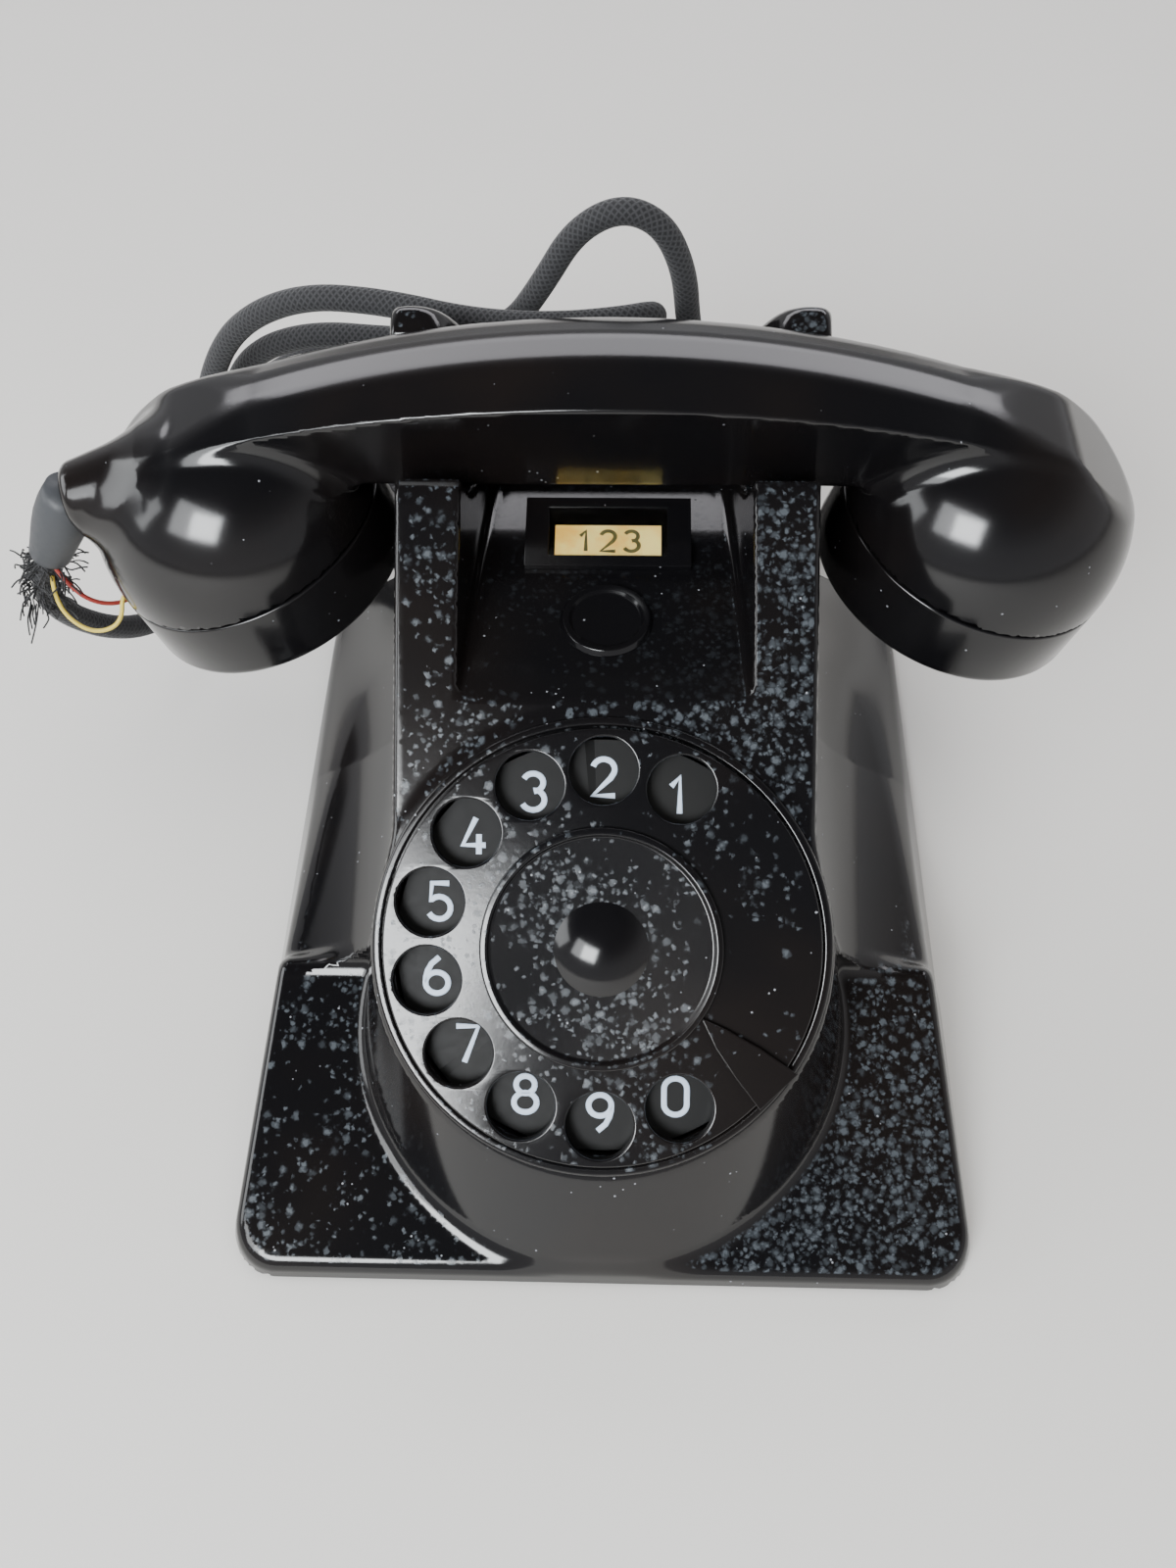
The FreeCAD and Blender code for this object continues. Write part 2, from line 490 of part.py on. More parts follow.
def make_handset():
    outside = [(CUP_R, 0), (CUP_R - 0.2, 8), (CUP_R - 2.2, 18), (CUP_R - 8, 28), (CUP_R - 18, 34.5), (0, 37)]
    inside = [(28.5, 0), (28.3, 10), (25, 20), (17, 28), (0, 31)]
    shell = grip().fuse([cup_frame(bell(outside, 37), side) for side in (-1, 1)])
    along = V(*BOSS_END) - V(*BOSS_START)
    shell = shell.fuse(Part.makeCone(9.5, 6.3, along.Length, V(*BOSS_START), along))
    for side in (-1, 1):
        shell = shell.cut(cup_frame(bell(inside, 31), side))
        shell = shell.fuse(cup_frame(ring(30.6, 28.5, 6.5, (0, 0, -6.5)), side))
    bush = Part.makeCone(5.2, 4.2, BUSH_L, V(*BOSS_END), V(*BUSH_AXIS))
    save("handset_cord_bush", bush.cut(shell))
    save("handset_shell", shell)
    outline = [(CUP_R, -0.3), (CUP_R, 3 - CAP_H), (CUP_R - 3, -CAP_H), (0, -CAP_H), (0, 3.2 - CAP_H)]
    cap = turned(outline + [(30.8, 3.2 - CAP_H), (30.8, -0.3)])
    cap = cap.cut(cyl(1.3, 5, (0, 0, -CAP_H - 1)))
    for count, radius in ((6, 7.5), (12, 15)):
        for i in range(count):
            hole = cyl(1.3, 5, (radius, 0, -CAP_H - 1))
            cap = cap.cut(placed(hole, (0, 0, 0), (0, 0, 1), 360 * i / count))
    for name, side in (("mouthpiece_cap", -1), ("earpiece_cap", 1)):
        save(name, cup_frame(cap, side))
    save("transmitter_capsule", cup_frame(cyl(27.5, 13, (0, 0, -13.5)), -1))
    save("receiver_capsule", cup_frame(cyl(27.5, 11, (0, 0, -13.5)).fuse(cyl(20, 6, (0, 0, -2.5))), 1))
    save("handset_terminals", cup_frame(block(-14, 14, -8, 8, 1, 8), -1))


# ---- Cords ----

def cord_tube(name, points):
    """A round tube along straight runs joined by arcs as large as the runs allow."""
    spots = [V(*p) for p in points]
    edges = []
    here = spots[0]
    radii = []
    for before, corner, after in zip(spots, spots[1:], spots[2:]):
        back = (before - corner)
        ahead = (after - corner)
        short = min(back.Length, ahead.Length)
        half_turn = (math.pi - back.getAngle(ahead)) / 2
        back.normalize()
        ahead.normalize()
        reach = 0.45 * short
        radii.append(reach / math.tan(half_turn))
        inward = back + ahead
        inward.normalize()
        centre_gap = radii[-1] / math.cos(half_turn)
        middle = corner + inward * (centre_gap - radii[-1])
        enter = corner + back * reach
        leave = corner + ahead * reach
        edges.append(Part.makeLine(here, enter))
        edges.append(Part.Arc(enter, middle, leave).toShape())
        here = leave
    edges.append(Part.makeLine(here, spots[-1]))
    path = Part.Wire(edges)
    section = Part.Wire(Part.Circle(spots[0], spots[1] - spots[0], CORD_D / 2).toShape())
    tube = path.makePipeShell([section], True, False)
    expected = path.Length * math.pi * CORD_D ** 2 / 4
    print(name, "length", round(path.Length), "volume ratio", round(tube.Volume / expected, 4),
          "radii", [round(r) for r in radii])
    save(name, tube)


def make_cords():
    cord_tube("handset_cord_lead", HANDSET_LEAD)
    cord_tube("handset_cord_tail", HANDSET_TAIL)
    cord_tube("line_cord_lead", LINE_LEAD)
    cord_tube("line_cord_tail", LINE_TAIL)
    for name, (x, y, inner, outer) in COILS.items():
        save(name, ring(outer, inner, COIL_H, (x, y, 0.1)))
    for name, x in GLAND_XS.items():
        neck = cyl(GLAND_R - 0.05, 8.4, (x, 94.6, GLAND_Z), (0, 1, 0))
        gland = neck.fuse(cyl(6.6, 2.2, (x, 94.6, GLAND_Z), (0, 1, 0)))
        taper = Part.makeCone(6.4, 4.2, GLAND_END_Y - 102.4, V(x, 102.4, GLAND_Z), V(0, 1, 0))
        save(name, gland.fuse(taper))
    x, y, z = PLUG_AT
    body = block(x - 15, x + 15, y - 20, y + 14, z - 11, z + 11)
    body = body.makeFillet(3.0, body.Edges)
    nose = Part.makeCone(8.0, 4.4, 13.5, V(x, y + 14, z), V(0, 1, 0))
    save("line_plug", body.fuse(nose))
    pins = [cyl(2.2, 13, (x + dx, y - 33, z + dz), (0, 1, 0)) for dx in (-9, 9) for dz in (-5, 5)]
    save("plug_pins", *pins)


def main():
    make_housing()
    make_underside()
    make_recess_pieces()
    make_dial_outside()
    make_dial_movement()
    make_ringer()
    make_switch()
    make_circuit()
    make_handset()
    make_cords()
    os.makedirs("parts", exist_ok=True)
    for name, shape in PARTS.items():
        print(name, len(shape.Solids), round(shape.Volume), shape.isValid())
        shape.exportStep("parts/" + name + ".step")


main()
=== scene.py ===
"""The looks of a black rotary telephone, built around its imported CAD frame.

Shapes are worked out in millimetres, in the frame of the CAD part, and become metres when a mesh is made.
"""
import math
import random

import bmesh
import bpy
import numpy as np
from mathutils import Matrix, Vector


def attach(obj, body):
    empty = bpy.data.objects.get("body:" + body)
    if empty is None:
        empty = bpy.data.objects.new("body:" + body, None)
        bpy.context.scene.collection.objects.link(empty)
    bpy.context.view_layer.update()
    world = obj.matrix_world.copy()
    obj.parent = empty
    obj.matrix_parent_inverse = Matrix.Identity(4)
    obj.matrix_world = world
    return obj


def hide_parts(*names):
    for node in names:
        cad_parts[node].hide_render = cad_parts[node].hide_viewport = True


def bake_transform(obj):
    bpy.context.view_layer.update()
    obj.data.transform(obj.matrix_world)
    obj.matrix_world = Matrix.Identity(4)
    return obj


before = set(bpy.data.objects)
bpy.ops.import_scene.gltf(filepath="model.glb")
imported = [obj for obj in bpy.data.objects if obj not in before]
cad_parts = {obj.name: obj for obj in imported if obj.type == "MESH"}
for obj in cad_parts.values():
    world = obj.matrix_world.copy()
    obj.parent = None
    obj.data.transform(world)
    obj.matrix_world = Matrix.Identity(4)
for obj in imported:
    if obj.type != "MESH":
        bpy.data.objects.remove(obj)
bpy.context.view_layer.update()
MM = 0.001

# ---- Driving dimensions, as in the CAD part ----
BASE_W, BASE_D = 169.0, 204.0
SKIRT_Z0, SKIRT_H, CORNER_R = 1.5, 5.0, 11.0
WALL = 3.0
FACE_SLOPE = math.radians(36.0)
FACE_HALF, REAR_HALF = 45.3, 54.0
FLANK_Z = 62.0
SHOULDER_X = 78.0
TOE_FRONT_Z, TOE_REAR_Z, TOE_REAR_Y = 7.0, 29.0, -35.0
PILLAR_Y = 30.5
HORN_Z, LEDGE_Z, RECESS_Z = 129.5, 108.0, 92.0
PLUG_Y = 17.0
CARD_Y, CARD_Z, CARD_TILT = 41.5, 95.1, math.radians(10.7)
DIAL_Y, DIAL_Z = -47.7, 61.3
RING_R, WHEEL_R, WHEEL_Z, WHEEL_T = 49.0, 46.4, 0.5, 3.1
HOLE_R, HOLE_PITCH_R, DIGIT_PITCH_R = 7.25, 37.5, 36.0
HOLE_ANGLES = [26.0, 0.0, -24.5, -50.0, -75.5, -101.0, -127.0, -153.5, -180.0, -206.6]
OPENING_R, OPENING_DEPTH = 44.6, 10.5
PLATE_Z, PLATE_T = -3.2, 1.6
CENTRE_R, DOME_R, DOME_H = 25.7, 10.0, 3.6
GRIP_Y, GRIP_Z, GRIP_ARCH_R = 52.0, 122.7, 255.0
SADDLE_R = 18.4
CUP_X, CUP_Z, CUP_TILT, CUP_R, CAP_H = 87.0, 87.5, math.radians(17.0), 34.0, 18.0
BELL_H = 34.0
END_X, END_Z = 101.0, 117.8
BOSS_START, BOSS_END = Vector((-104.0, 46.0, 105.0)), Vector((-122.7, 41.7, 104.1))
BUSH_AXIS, BUSH_L = Vector((-0.48, -0.04, -0.876)).normalized(), 20.0
PLUNGER_X, PLUNGER_R, PLUNGER_FLOOR = 38.0, 2.56, 84.0
GLAND_XS, GLAND_Z, GLAND_R = (-24.0, 24.0), 13.0, 5.0
POSTS, POST_R, POST_Z = [(-68, -70), (68, -70), (-66, 84), (66, 84)], 4.2, 43.0
DRUM_Y = -48.0
DRUM_FOOT, DRUM_RIM = (60.0, 57.5), (49.4, 40.0)
DRUM_RISE = 29.04
BODY_FRONT_Y = -36.0
SHELF_Y = 76.0
DIGIT_H, DIGIT_STROKE, FLATNESS = 9.1, 1.3, 0.14
BLADE_T = 1.1

# ---- Cords: the same routes as the CAD part ----
CORD_D = 6.3
HANDSET_LEAD = [
    (-132.5, 40.9, 86.2), (-138.1, 40.4, 76.0), (-137.5, 44.5, 61.0), (-131.0, 55.0, 43.0),
    (-125.5, 72.0, 29.0), (-121.0, 90.0, 27.0), (-118.0, 103.0, 39.0), (-114.0, 108.0, 60.0),
    (-107.0, 107.0, 84.0), (-95.0, 104.0, 104.0), (-76.0, 100.0, 115.5), (-55.0, 97.0, 116.0),
    (-34.0, 94.0, 112.6), (-14.0, 93.0, 112.2), (2.0, 94.5, 112.8), (11.5, 101.0, 110.0),
    (8.5, 109.0, 101.0), (1.0, 113.0, 86.0), (-2.5, 116.0, 66.0), (0.5, 119.0, 44.0),
    (7.5, 125.0, 23.0), (20.0, 130.0, 7.5), (37.0, 127.5, 3.6)]
HANDSET_TAIL = [
    (10.5, 166.0, 9.5), (10.0, 151.0, 6.5), (2.0, 138.0, 4.6), (-12.0, 132.5, 6.5),
    (-23.5, 126.5, 11.5), (-24.0, 114.2, 13.0)]
LINE_LEAD = [
    (24.0, 114.2, 13.0), (24.0, 124.0, 13.2), (25.0, 131.0, 22.0), (26.0, 130.0, 38.0),
    (25.0, 124.0, 60.0), (22.0, 115.0, 83.0), (19.0, 108.5, 102.0), (17.5, 106.5, 118.0),
    (12.0, 106.0, 131.0), (2.0, 106.0, 135.5), (-9.0, 106.0, 129.0), (-17.0, 105.5, 115.0),
    (-25.0, 106.5, 102.5), (-38.0, 108.0, 96.0), (-57.0, 110.0, 95.0), (-78.0, 112.0, 95.5),
    (-96.0, 115.0, 87.0), (-107.0, 120.0, 68.0), (-113.0, 127.0, 45.0), (-119.0, 136.0, 23.0),
    (-127.0, 146.0, 9.0), (-131.5, 160.0, 3.6)]
LINE_TAIL = [
    (-78.0, 213.5, 9.6), (-62.0, 216.5, 8.6), (-45.0, 219.0, 7.6), (-29.5, 219.5, 9.0),
    (-19.5, 212.0, 11.3), (-19.0, 199.8, 11.5)]
HANDSET_COIL = dict(centre=(52.0, 166.0), start=-108.0, turns=2.8, outer=41.3, inner=32.4, way=1)
LINE_COIL = dict(centre=(-88.0, 172.0), start=192.0, turns=5.3, outer=44.7, inner=29.3, way=-1)
COIL_LOW, COIL_HIGH = 3.35, 9.75

ON_DIAL = Matrix.Translation((0, DIAL_Y, DIAL_Z)) @ Matrix.Rotation(FACE_SLOPE, 4, "X")
ON_CARD = Matrix.Translation((0, CARD_Y, CARD_Z)) @ Matrix.Rotation(CARD_TILT, 4, "X")


def cup_frame(side):
    return Matrix.Translation((side * CUP_X, GRIP_Y, CUP_Z)) @ Matrix.Rotation(side * CUP_TILT, 4, "Y")


# ---- Meshes ----

def add_object(name, data, material=None):
    obj = bpy.data.objects.new(name, data)
    bpy.context.scene.collection.objects.link(obj)
    if material:
        data.materials.append(material)
    return obj


def mesh_object(name, points, faces, material, normals=None):
    """A smooth-shaded piece from points in millimetres."""
    mesh = bpy.data.meshes.new(name)
    mesh.from_pydata((np.asarray(points, float) * MM).tolist(), [], [list(map(int, f)) for f in faces])
    mesh.polygons.foreach_set("use_smooth", [True] * len(mesh.polygons))
    if normals is not None:
        mesh.normals_split_custom_set_from_vertices(normals.tolist())
    return add_object(name, mesh, material)


def fill_arc(points, steps=5):
    """Rounds the corners of an outline: a point given as (a, b, r) becomes an arc of radius r."""
    out = []
    for i, point in enumerate(points):
        if len(point) == 2:
            out.append(point)
            continue
        here = Vector(point[:2])
        back = (Vector(points[i - 1][:2]) - here).normalized()
        ahead = (Vector(points[(i + 1) % len(points)][:2]) - here).normalized()
        half = back.angle(ahead) / 2
        reach = point[2] / math.tan(half)
        centre = here + (back + ahead).normalized() * (point[2] / math.sin(half))
        start, end = here + back * reach - centre, here + ahead * reach - centre
        sweep = start.angle_signed(end)
        for k in range(steps + 1):
            out.append(tuple(centre + Matrix.Rotation(-sweep * k / steps, 2) @ start))
    return out


def turned(name, profile, place, material, segments=128, steps=5):
    """A turned piece: an open outline of (r, z), with rounded corners, about its own Z."""
    outline = fill_arc(profile, steps)
    points, faces = [], []
    for i in range(segments):
        a = math.tau * i / segments
        points += [place @ Vector((r * math.cos(a), r * math.sin(a), z)) for r, z in outline]
    n = len(outline)
    for i in range(segments):
        j = (i + 1) % segments
        faces += [(i * n + k, j * n + k, j * n + k + 1, i * n + k + 1) for k in range(n - 1)]
    return cleaned(mesh_object(name, [tuple(p) for p in points], faces, material))


def cleaned(obj, sharp=32.0):
    """Joins doubled points, turns the faces outwards and marks real edges as sharp."""
    bm = bmesh.new()
    bm.from_mesh(obj.data)
    bmesh.ops.remove_doubles(bm, verts=bm.verts, dist=1e-6)
    bmesh.ops.dissolve_degenerate(bm, dist=1e-7, edges=bm.edges)
    bmesh.ops.recalc_face_normals(bm, faces=bm.faces)
    bm.to_mesh(obj.data)
    bm.free()
    obj.data.set_sharp_from_angle(angle=math.radians(sharp))
    return obj


def plate(name, outlines, thick, edge, place, material):
    """A flat plate with holes and rounded edges, lying on its own z = 0."""
    curve = bpy.data.curves.new(name, "CURVE")
    curve.dimensions = "2D"
    curve.fill_mode = "BOTH"
    curve.extrude = (thick / 2 - edge) * MM
    curve.bevel_depth = edge * MM
    curve.bevel_resolution = 3
    curve.offset = -edge * MM
    for outline in outlines:
        spline = curve.splines.new("POLY")
        spline.points.add(len(outline) - 1)
        for p, (x, y) in zip(spline.points, outline):
            p.co = (x * MM, y * MM, 0, 1)
        spline.use_cyclic_u = True
    shape = bpy.data.objects.new(name + "_outline", curve)
    mesh = bpy.data.meshes.new_from_object(shape)
    bpy.data.objects.remove(shape)
    lift = place @ Matrix.Translation((0, 0, thick / 2))
    mesh.transform(Matrix.Translation(lift.translation * MM) @ lift.to_3x3().to_4x4())
    mesh.name = name
    mesh.polygons.foreach_set("use_smooth", [True] * len(mesh.polygons))
    obj = cleaned(add_object(name, mesh, material), 40.0)
    flat = obj.modifiers.new("flat_faces", "WEIGHTED_NORMAL")
    flat.weight = 100
    flat.keep_sharp = True
    return obj


def circle(radius, x=0.0, y=0.0, count=96):
    return [(x + radius * math.cos(math.tau * i / count), y + radius * math.sin(math.tau * i / count))
            for i in range(count)]


def joined(name, parts):
    """One piece out of several."""
    with bpy.context.temp_override(active_object=parts[0], selected_editable_objects=parts):
        bpy.ops.object.join()
    parts[0].name = name
    return parts[0]


# ---- Solids from distance fields ----

def round_max(a, b, r):
    """Intersection of two fields, its edge rounded to radius r."""
    return np.minimum(-r, np.maximum(a, b)) + np.hypot(np.maximum(a + r, 0), np.maximum(b + r, 0))


def round_min(a, b, r):
    """Union of two fields with a fillet of radius r."""
    return np.maximum(r, np.minimum(a, b)) - np.hypot(np.maximum(r - a, 0), np.maximum(r - b, 0))


def skin(name, field, low, high, step, material):
    """A mesh on the zero level of a field, with one vertex in each cell that the level crosses."""
    axes = [np.arange(a, b + step, step) for a, b in zip(low, high)]
    values = field(*np.meshgrid(*axes, indexing="ij"))
    inside = values < 0
    cells = [s - 1 for s in values.shape]

    def corner(grid, c):
        return grid[c[0]:c[0] + cells[0], c[1]:c[1] + cells[1], c[2]:c[2] + cells[2]]

    corners = [(i, j, k) for i in (0, 1) for j in (0, 1) for k in (0, 1)]
    count = sum(corner(inside, c).astype(np.int8) for c in corners)
    crossed = (count > 0) & (count < 8)
    index = np.full(cells, -1)
    index[crossed] = np.arange(crossed.sum())
    total = np.zeros((crossed.sum(), 3))
    number = np.zeros(crossed.sum())
    for c in corners:
        for axis in range(3):
            if c[axis]:
                continue
            other = tuple(1 if i == axis else c[i] for i in range(3))
            a, b = corner(values, c)[crossed], corner(values, other)[crossed]
            cut = (a < 0) != (b < 0)
            share = a[cut] / (a[cut] - b[cut])
            spot = np.tile(np.array(c, float), (cut.sum(), 1))
            spot[:, axis] += share
            total[cut] += spot
            number[cut] += 1
    points = np.array(low) + step * (np.argwhere(crossed) + total / number[:, None])
    points, normals = settle(field, points, step)
    faces = []
    for axis in range(3):
        one, two = (axis + 1) % 3, (axis + 2) % 3
        edge = np.moveaxis(inside, (axis, one, two), (0, 1, 2))
        grid = np.moveaxis(index, (axis, one, two), (0, 1, 2))
        low_in = edge[:-1, 1:-1, 1:-1]
        change = low_in != edge[1:, 1:-1, 1:-1]
        ring = [grid[:, a:a + change.shape[1], b:b + change.shape[2]][change]
                for a, b in ((0, 0), (1, 0), (1, 1), (0, 1))]
        quads = np.stack(ring, axis=1)
        flip = ~low_in[change]
        quads[flip] = quads[flip][:, ::-1]
        faces.append(quads)
    faces = np.concatenate(faces)
    faces = faces[(faces >= 0).all(axis=1)]
    return mesh_object(name, points, faces, material, normals)


def settle(field, points, step):
    """Moves points onto the field's zero level, and gives the normals there."""
    reach = 0.02
    for _ in range(4):
        value = field(*points.T)
        slope = np.stack([(field(*(points + d).T) - field(*(points - d).T)) / (2 * reach)
                          for d in np.eye(3) * reach], axis=1)
        size = np.maximum((slope ** 2).sum(axis=1), 0.05)
        move = -slope * (value / size)[:, None]
        far = np.linalg.norm(move, axis=1) / (0.5 * step)
        points = points + move / np.maximum(far, 1)[:, None]
    return points, slope / np.maximum(np.linalg.norm(slope, axis=1), 1e-9)[:, None]


# ---- Housing ----

def face_z(y):
    return DIAL_Z + (y - DIAL_Y) * math.tan(FACE_SLOPE)


def footprint(x, y, z):
    """The drafted block over the base, with round corners."""
    up = np.maximum(z - SKIRT_H, 0)
    half_x = BASE_W / 2 - 0.12 * np.minimum(z, SKIRT_H) - 0.277 * up
    front = -BASE_D / 2 + 0.12 * np.minimum(z, SKIRT_H) + 0.144 * up
    back = BASE_D / 2 - 0.08 * np.minimum(z, SKIRT_H) - 0.093 * up
    qx = np.abs(x) - half_x + CORNER_R
    qy = np.abs(y - (front + back) / 2) - (back - front) / 2 + CORNER_R
    side = np.hypot(np.maximum(qx, 0), np.maximum(qy, 0)) + np.minimum(np.maximum(qx, qy), 0) - CORNER_R
    return side


def flank(x, y, z):
    """The body's cross-section: upright beside the face, hollow below, with a rounded shoulder."""
    back = np.clip((y - 30) / 72, 0, 1)
    near = FACE_HALF + (REAR_HALF - FACE_HALF) * back ** 1.2
    shoulder_z = np.interp(y, (-45, 30, 102), (26, 14, 9))
    run = SHOULDER_X - near
    fall = FLANK_Z - shoulder_z
    r = (run ** 2 + fall ** 2) / (2 * run)
    ax = np.abs(x)
    hollow = r - np.hypot(ax - near - r, z - FLANK_Z)
    lean = np.hypot(shoulder_z - SKIRT_H, BASE_W / 2 - SHOULDER_X)
    edge = ((ax - BASE_W / 2) * (shoulder_z - SKIRT_H) + (z - SKIRT_H) * (BASE_W / 2 - SHOULDER_X)) / lean
    low = round_max(round_max(hollow, edge, 3.0), z - FLANK_Z, 0.5)
    return np.minimum(ax - near, low)


def drum(x, y, z):
    """The apron under the dial, from an oval at the table to the round rim in the face."""
    s = (y - DRUM_Y) / 50
    for _ in range(5):
        t = np.clip(z / np.maximum(DIAL_Z + DRUM_RISE * np.clip(s, -1, 1), 5), 0, 1)
        s = (y - DRUM_Y - 0.3 * t) / (DRUM_FOOT[1] + (DRUM_RIM[1] - DRUM_FOOT[1]) * t)
    wide = DRUM_FOOT[0] + (DRUM_RIM[0] - DRUM_FOOT[0]) * t
    return 0.9 * (np.hypot(x / wide, s) - 1) * (57 - 13 * t)


def outer_form(x, y, z):
    """The moulded form with no recess or opening."""
    slope = (z - face_z(y)) * math.cos(FACE_SLOPE)
    top = round_max(slope, z - face_z(PILLAR_Y), 2.0)
    horn_front = (-9.4 * (y - 60) + 11 * (z - face_z(PILLAR_Y))) / 14.47
    horn_back = (19.5 * (y - 79) + 8 * (z - HORN_Z)) / 21.08
    horn_top = (z - HORN_Z + 0.05 * (np.abs(x) - 45) ** 2) * 0.92
    horns = round_max(round_max(horn_front, horn_top, 3.0), horn_back, 3.0)
    shelf = np.maximum(z - LEDGE_Z, SHELF_Y - y)
    roof = round_min(np.minimum(np.maximum(top, y - 74), np.maximum(horns, 58 - y)), shelf, 3.0)
    back = ((y - 102) * 108 + 4 * z) / 108.07
    body = round_max(round_max(flank(x, y, z), roof, 1.6), back, 3.0)
    body = np.maximum(body, BODY_FRONT_Y - y)
    lean = math.atan2(TOE_REAR_Z - TOE_FRONT_Z, BASE_D / 2 + TOE_REAR_Y - 2)
    toe = (z - TOE_FRONT_Z - (y + BASE_D / 2) * math.tan(lean)) * math.cos(lean)
    wings = round_max(toe, y - TOE_REAR_Y - 1.5, 5.0)
    barrel = round_max(drum(x, y, z), slope, 1.0)
    form = round_min(round_min(body, wings, 4.0), barrel, 2.5)
    return round_max(form, footprint(x, y, z), 2.2)


def recess(x, y, z):
    """The sunken floor between the pillars."""
    rear = np.clip((y + 5.5) / 67.5, 0, 1)
    half = (31.5 - 4.0 * rear) * (1 + 0.14 * (z - RECESS_Z) / 58)
    hollow = round_max(round_max(np.abs(x) - half, -7.5 - y, 4.0), np.maximum(RECESS_Z - z, y - 70), 2.0)
    return hollow


def horn_gap(x, y, z):
    """The gap between the two rear horns."""
    return round_max(np.maximum(np.abs(x) - 27.0 - 0.35 * (z - 106), 50 - y), 106 - z, 2.0)


def saddle(x, y, z):
    """Room for the grip, open at the top."""
    return np.where(z < GRIP_Z, np.hypot(y - GRIP_Y, z - GRIP_Z), np.abs(y - GRIP_Y)) - SADDLE_R


def dial_well(x, y, z):
    """The round opening in the face, in the dial's own frame."""
    c, s = math.cos(FACE_SLOPE), math.sin(FACE_SLOPE)
    v = (y - DIAL_Y) * c + (z - DIAL_Z) * s
    w = (z - DIAL_Z) * c - (y - DIAL_Y) * s
    return np.maximum(np.hypot(x, v) - OPENING_R, -OPENING_DEPTH - w)


def housing_field(x, y, z):
    form = round_max(outer_form(x, y, z), -horn_gap(x, y, z), 6.0)
    cuts = round_min(recess(x, y, z), saddle(x, y, z), 1.2)
    outside = round_max(form, -cuts, 0.7)
    inside = np.maximum(form, -cuts) + WALL
    posts = np.minimum.reduce([np.hypot(x - px, y - py) - POST_R for px, py in POSTS])
    inside = np.maximum(inside, -np.maximum(posts, z - POST_Z))
    shell = np.maximum(outside, -inside)
    holes = [dial_well(x, y, z)]
    for side in (-1, 1):
        bore = np.hypot(x - side * PLUNGER_X, y - GRIP_Y) - PLUNGER_R
        holes.append(np.maximum(bore, PLUNGER_FLOOR - z))
    holes += [np.maximum(np.hypot(x - gx, z - GLAND_Z) - GLAND_R, 90 - y) for gx in GLAND_XS]
    for hole in holes:
        shell = np.maximum(shell, -hole)
    return np.maximum(shell, SKIRT_Z0 - z)


def make_housing(material):
    piece = skin("housing_moulding", housing_field, (-87, -104, -1), (87, 105, 131), 1.25, material)
    return dress(piece, "case", "housing_bakelite", "housing")


# ---- Handset ----

def bell(r, h, radius, height):
    power = 2.15
    level = ((r / radius) ** power + (np.maximum(h, 0) / height) ** power) ** (1 / power)
    return np.maximum((level - 1) * 0.92 * radius, -h)


def handset_field(x, y, z):
    drop = GRIP_ARCH_R - np.sqrt(GRIP_ARCH_R ** 2 - np.minimum(np.abs(x), 130) ** 2)
    u = np.abs(y - GRIP_Y)
    v = z - GRIP_Z
    top = round_max(v + drop - 16, ((u - 4) * 4 + (v + drop - 16) * 12) / 12.65, 0.8)
    low = round_max(((u - 8.5) * 28 - (v + 16) * 7.5) / 28.99, -v - 16, 1.6)
    bar = round_max(top, low, 0.8)
    ax = np.abs(x)
    c, s = math.cos(CUP_TILT), math.sin(CUP_TILT)
    across = (ax - CUP_X) * c - (z - CUP_Z) * s
    h = (ax - CUP_X) * s + (z - CUP_Z) * c
    r = np.hypot(across, y - GRIP_Y)
    shape = round_min(bar, bell(r, h, CUP_R, BELL_H), 5.0)
    behind = (y - GRIP_Y - 16 + v + drop - 12) * 0.707
    shape = round_max(round_max(shape, v + drop - 16, 0.8), behind, 3.0)
    shape = round_max(shape, (ax - END_X + z - END_Z) * 0.707, 1.2)
    along = BOSS_END - BOSS_START
    t = ((x - BOSS_START.x) * along.x + (y - BOSS_START.y) * along.y + (z - BOSS_START.z) * along.z)
    t = t / along.length_squared
    gap = [p - a - np.clip(t, 0, 1) * d for p, a, d in zip((x, y, z), BOSS_START, along)]
    boss = np.sqrt(sum(g ** 2 for g in gap)) - 12.0 + 4.4 * np.clip(t, 0, 1)
    boss = round_max(boss, (t - 1) * along.length, 2.5)
    shape = round_min(shape, boss, 6.0)
    shape = np.maximum(shape, -np.maximum(h, r - CUP_R - 3))
    shape = np.maximum(shape, -bell(r, h, 28.5, 28.0))
    ring = np.maximum(np.abs(r - 29.5) - 1.1, np.abs(h + 2.5) - 4.0)
    return np.minimum(shape, ring)


def make_handset(material):
    piece = skin("handset_moulding", handset_field, (-132, 15, 58), (124, 89, 141), 1.1, material)
    dress(piece, "handset", "handset_bakelite", "handset_shell")
    make_cap("mouthpiece_turned_cap", -1, "mouthpiece_cap", material)
    make_cap("earpiece_turned_cap", 1, "earpiece_cap", material)


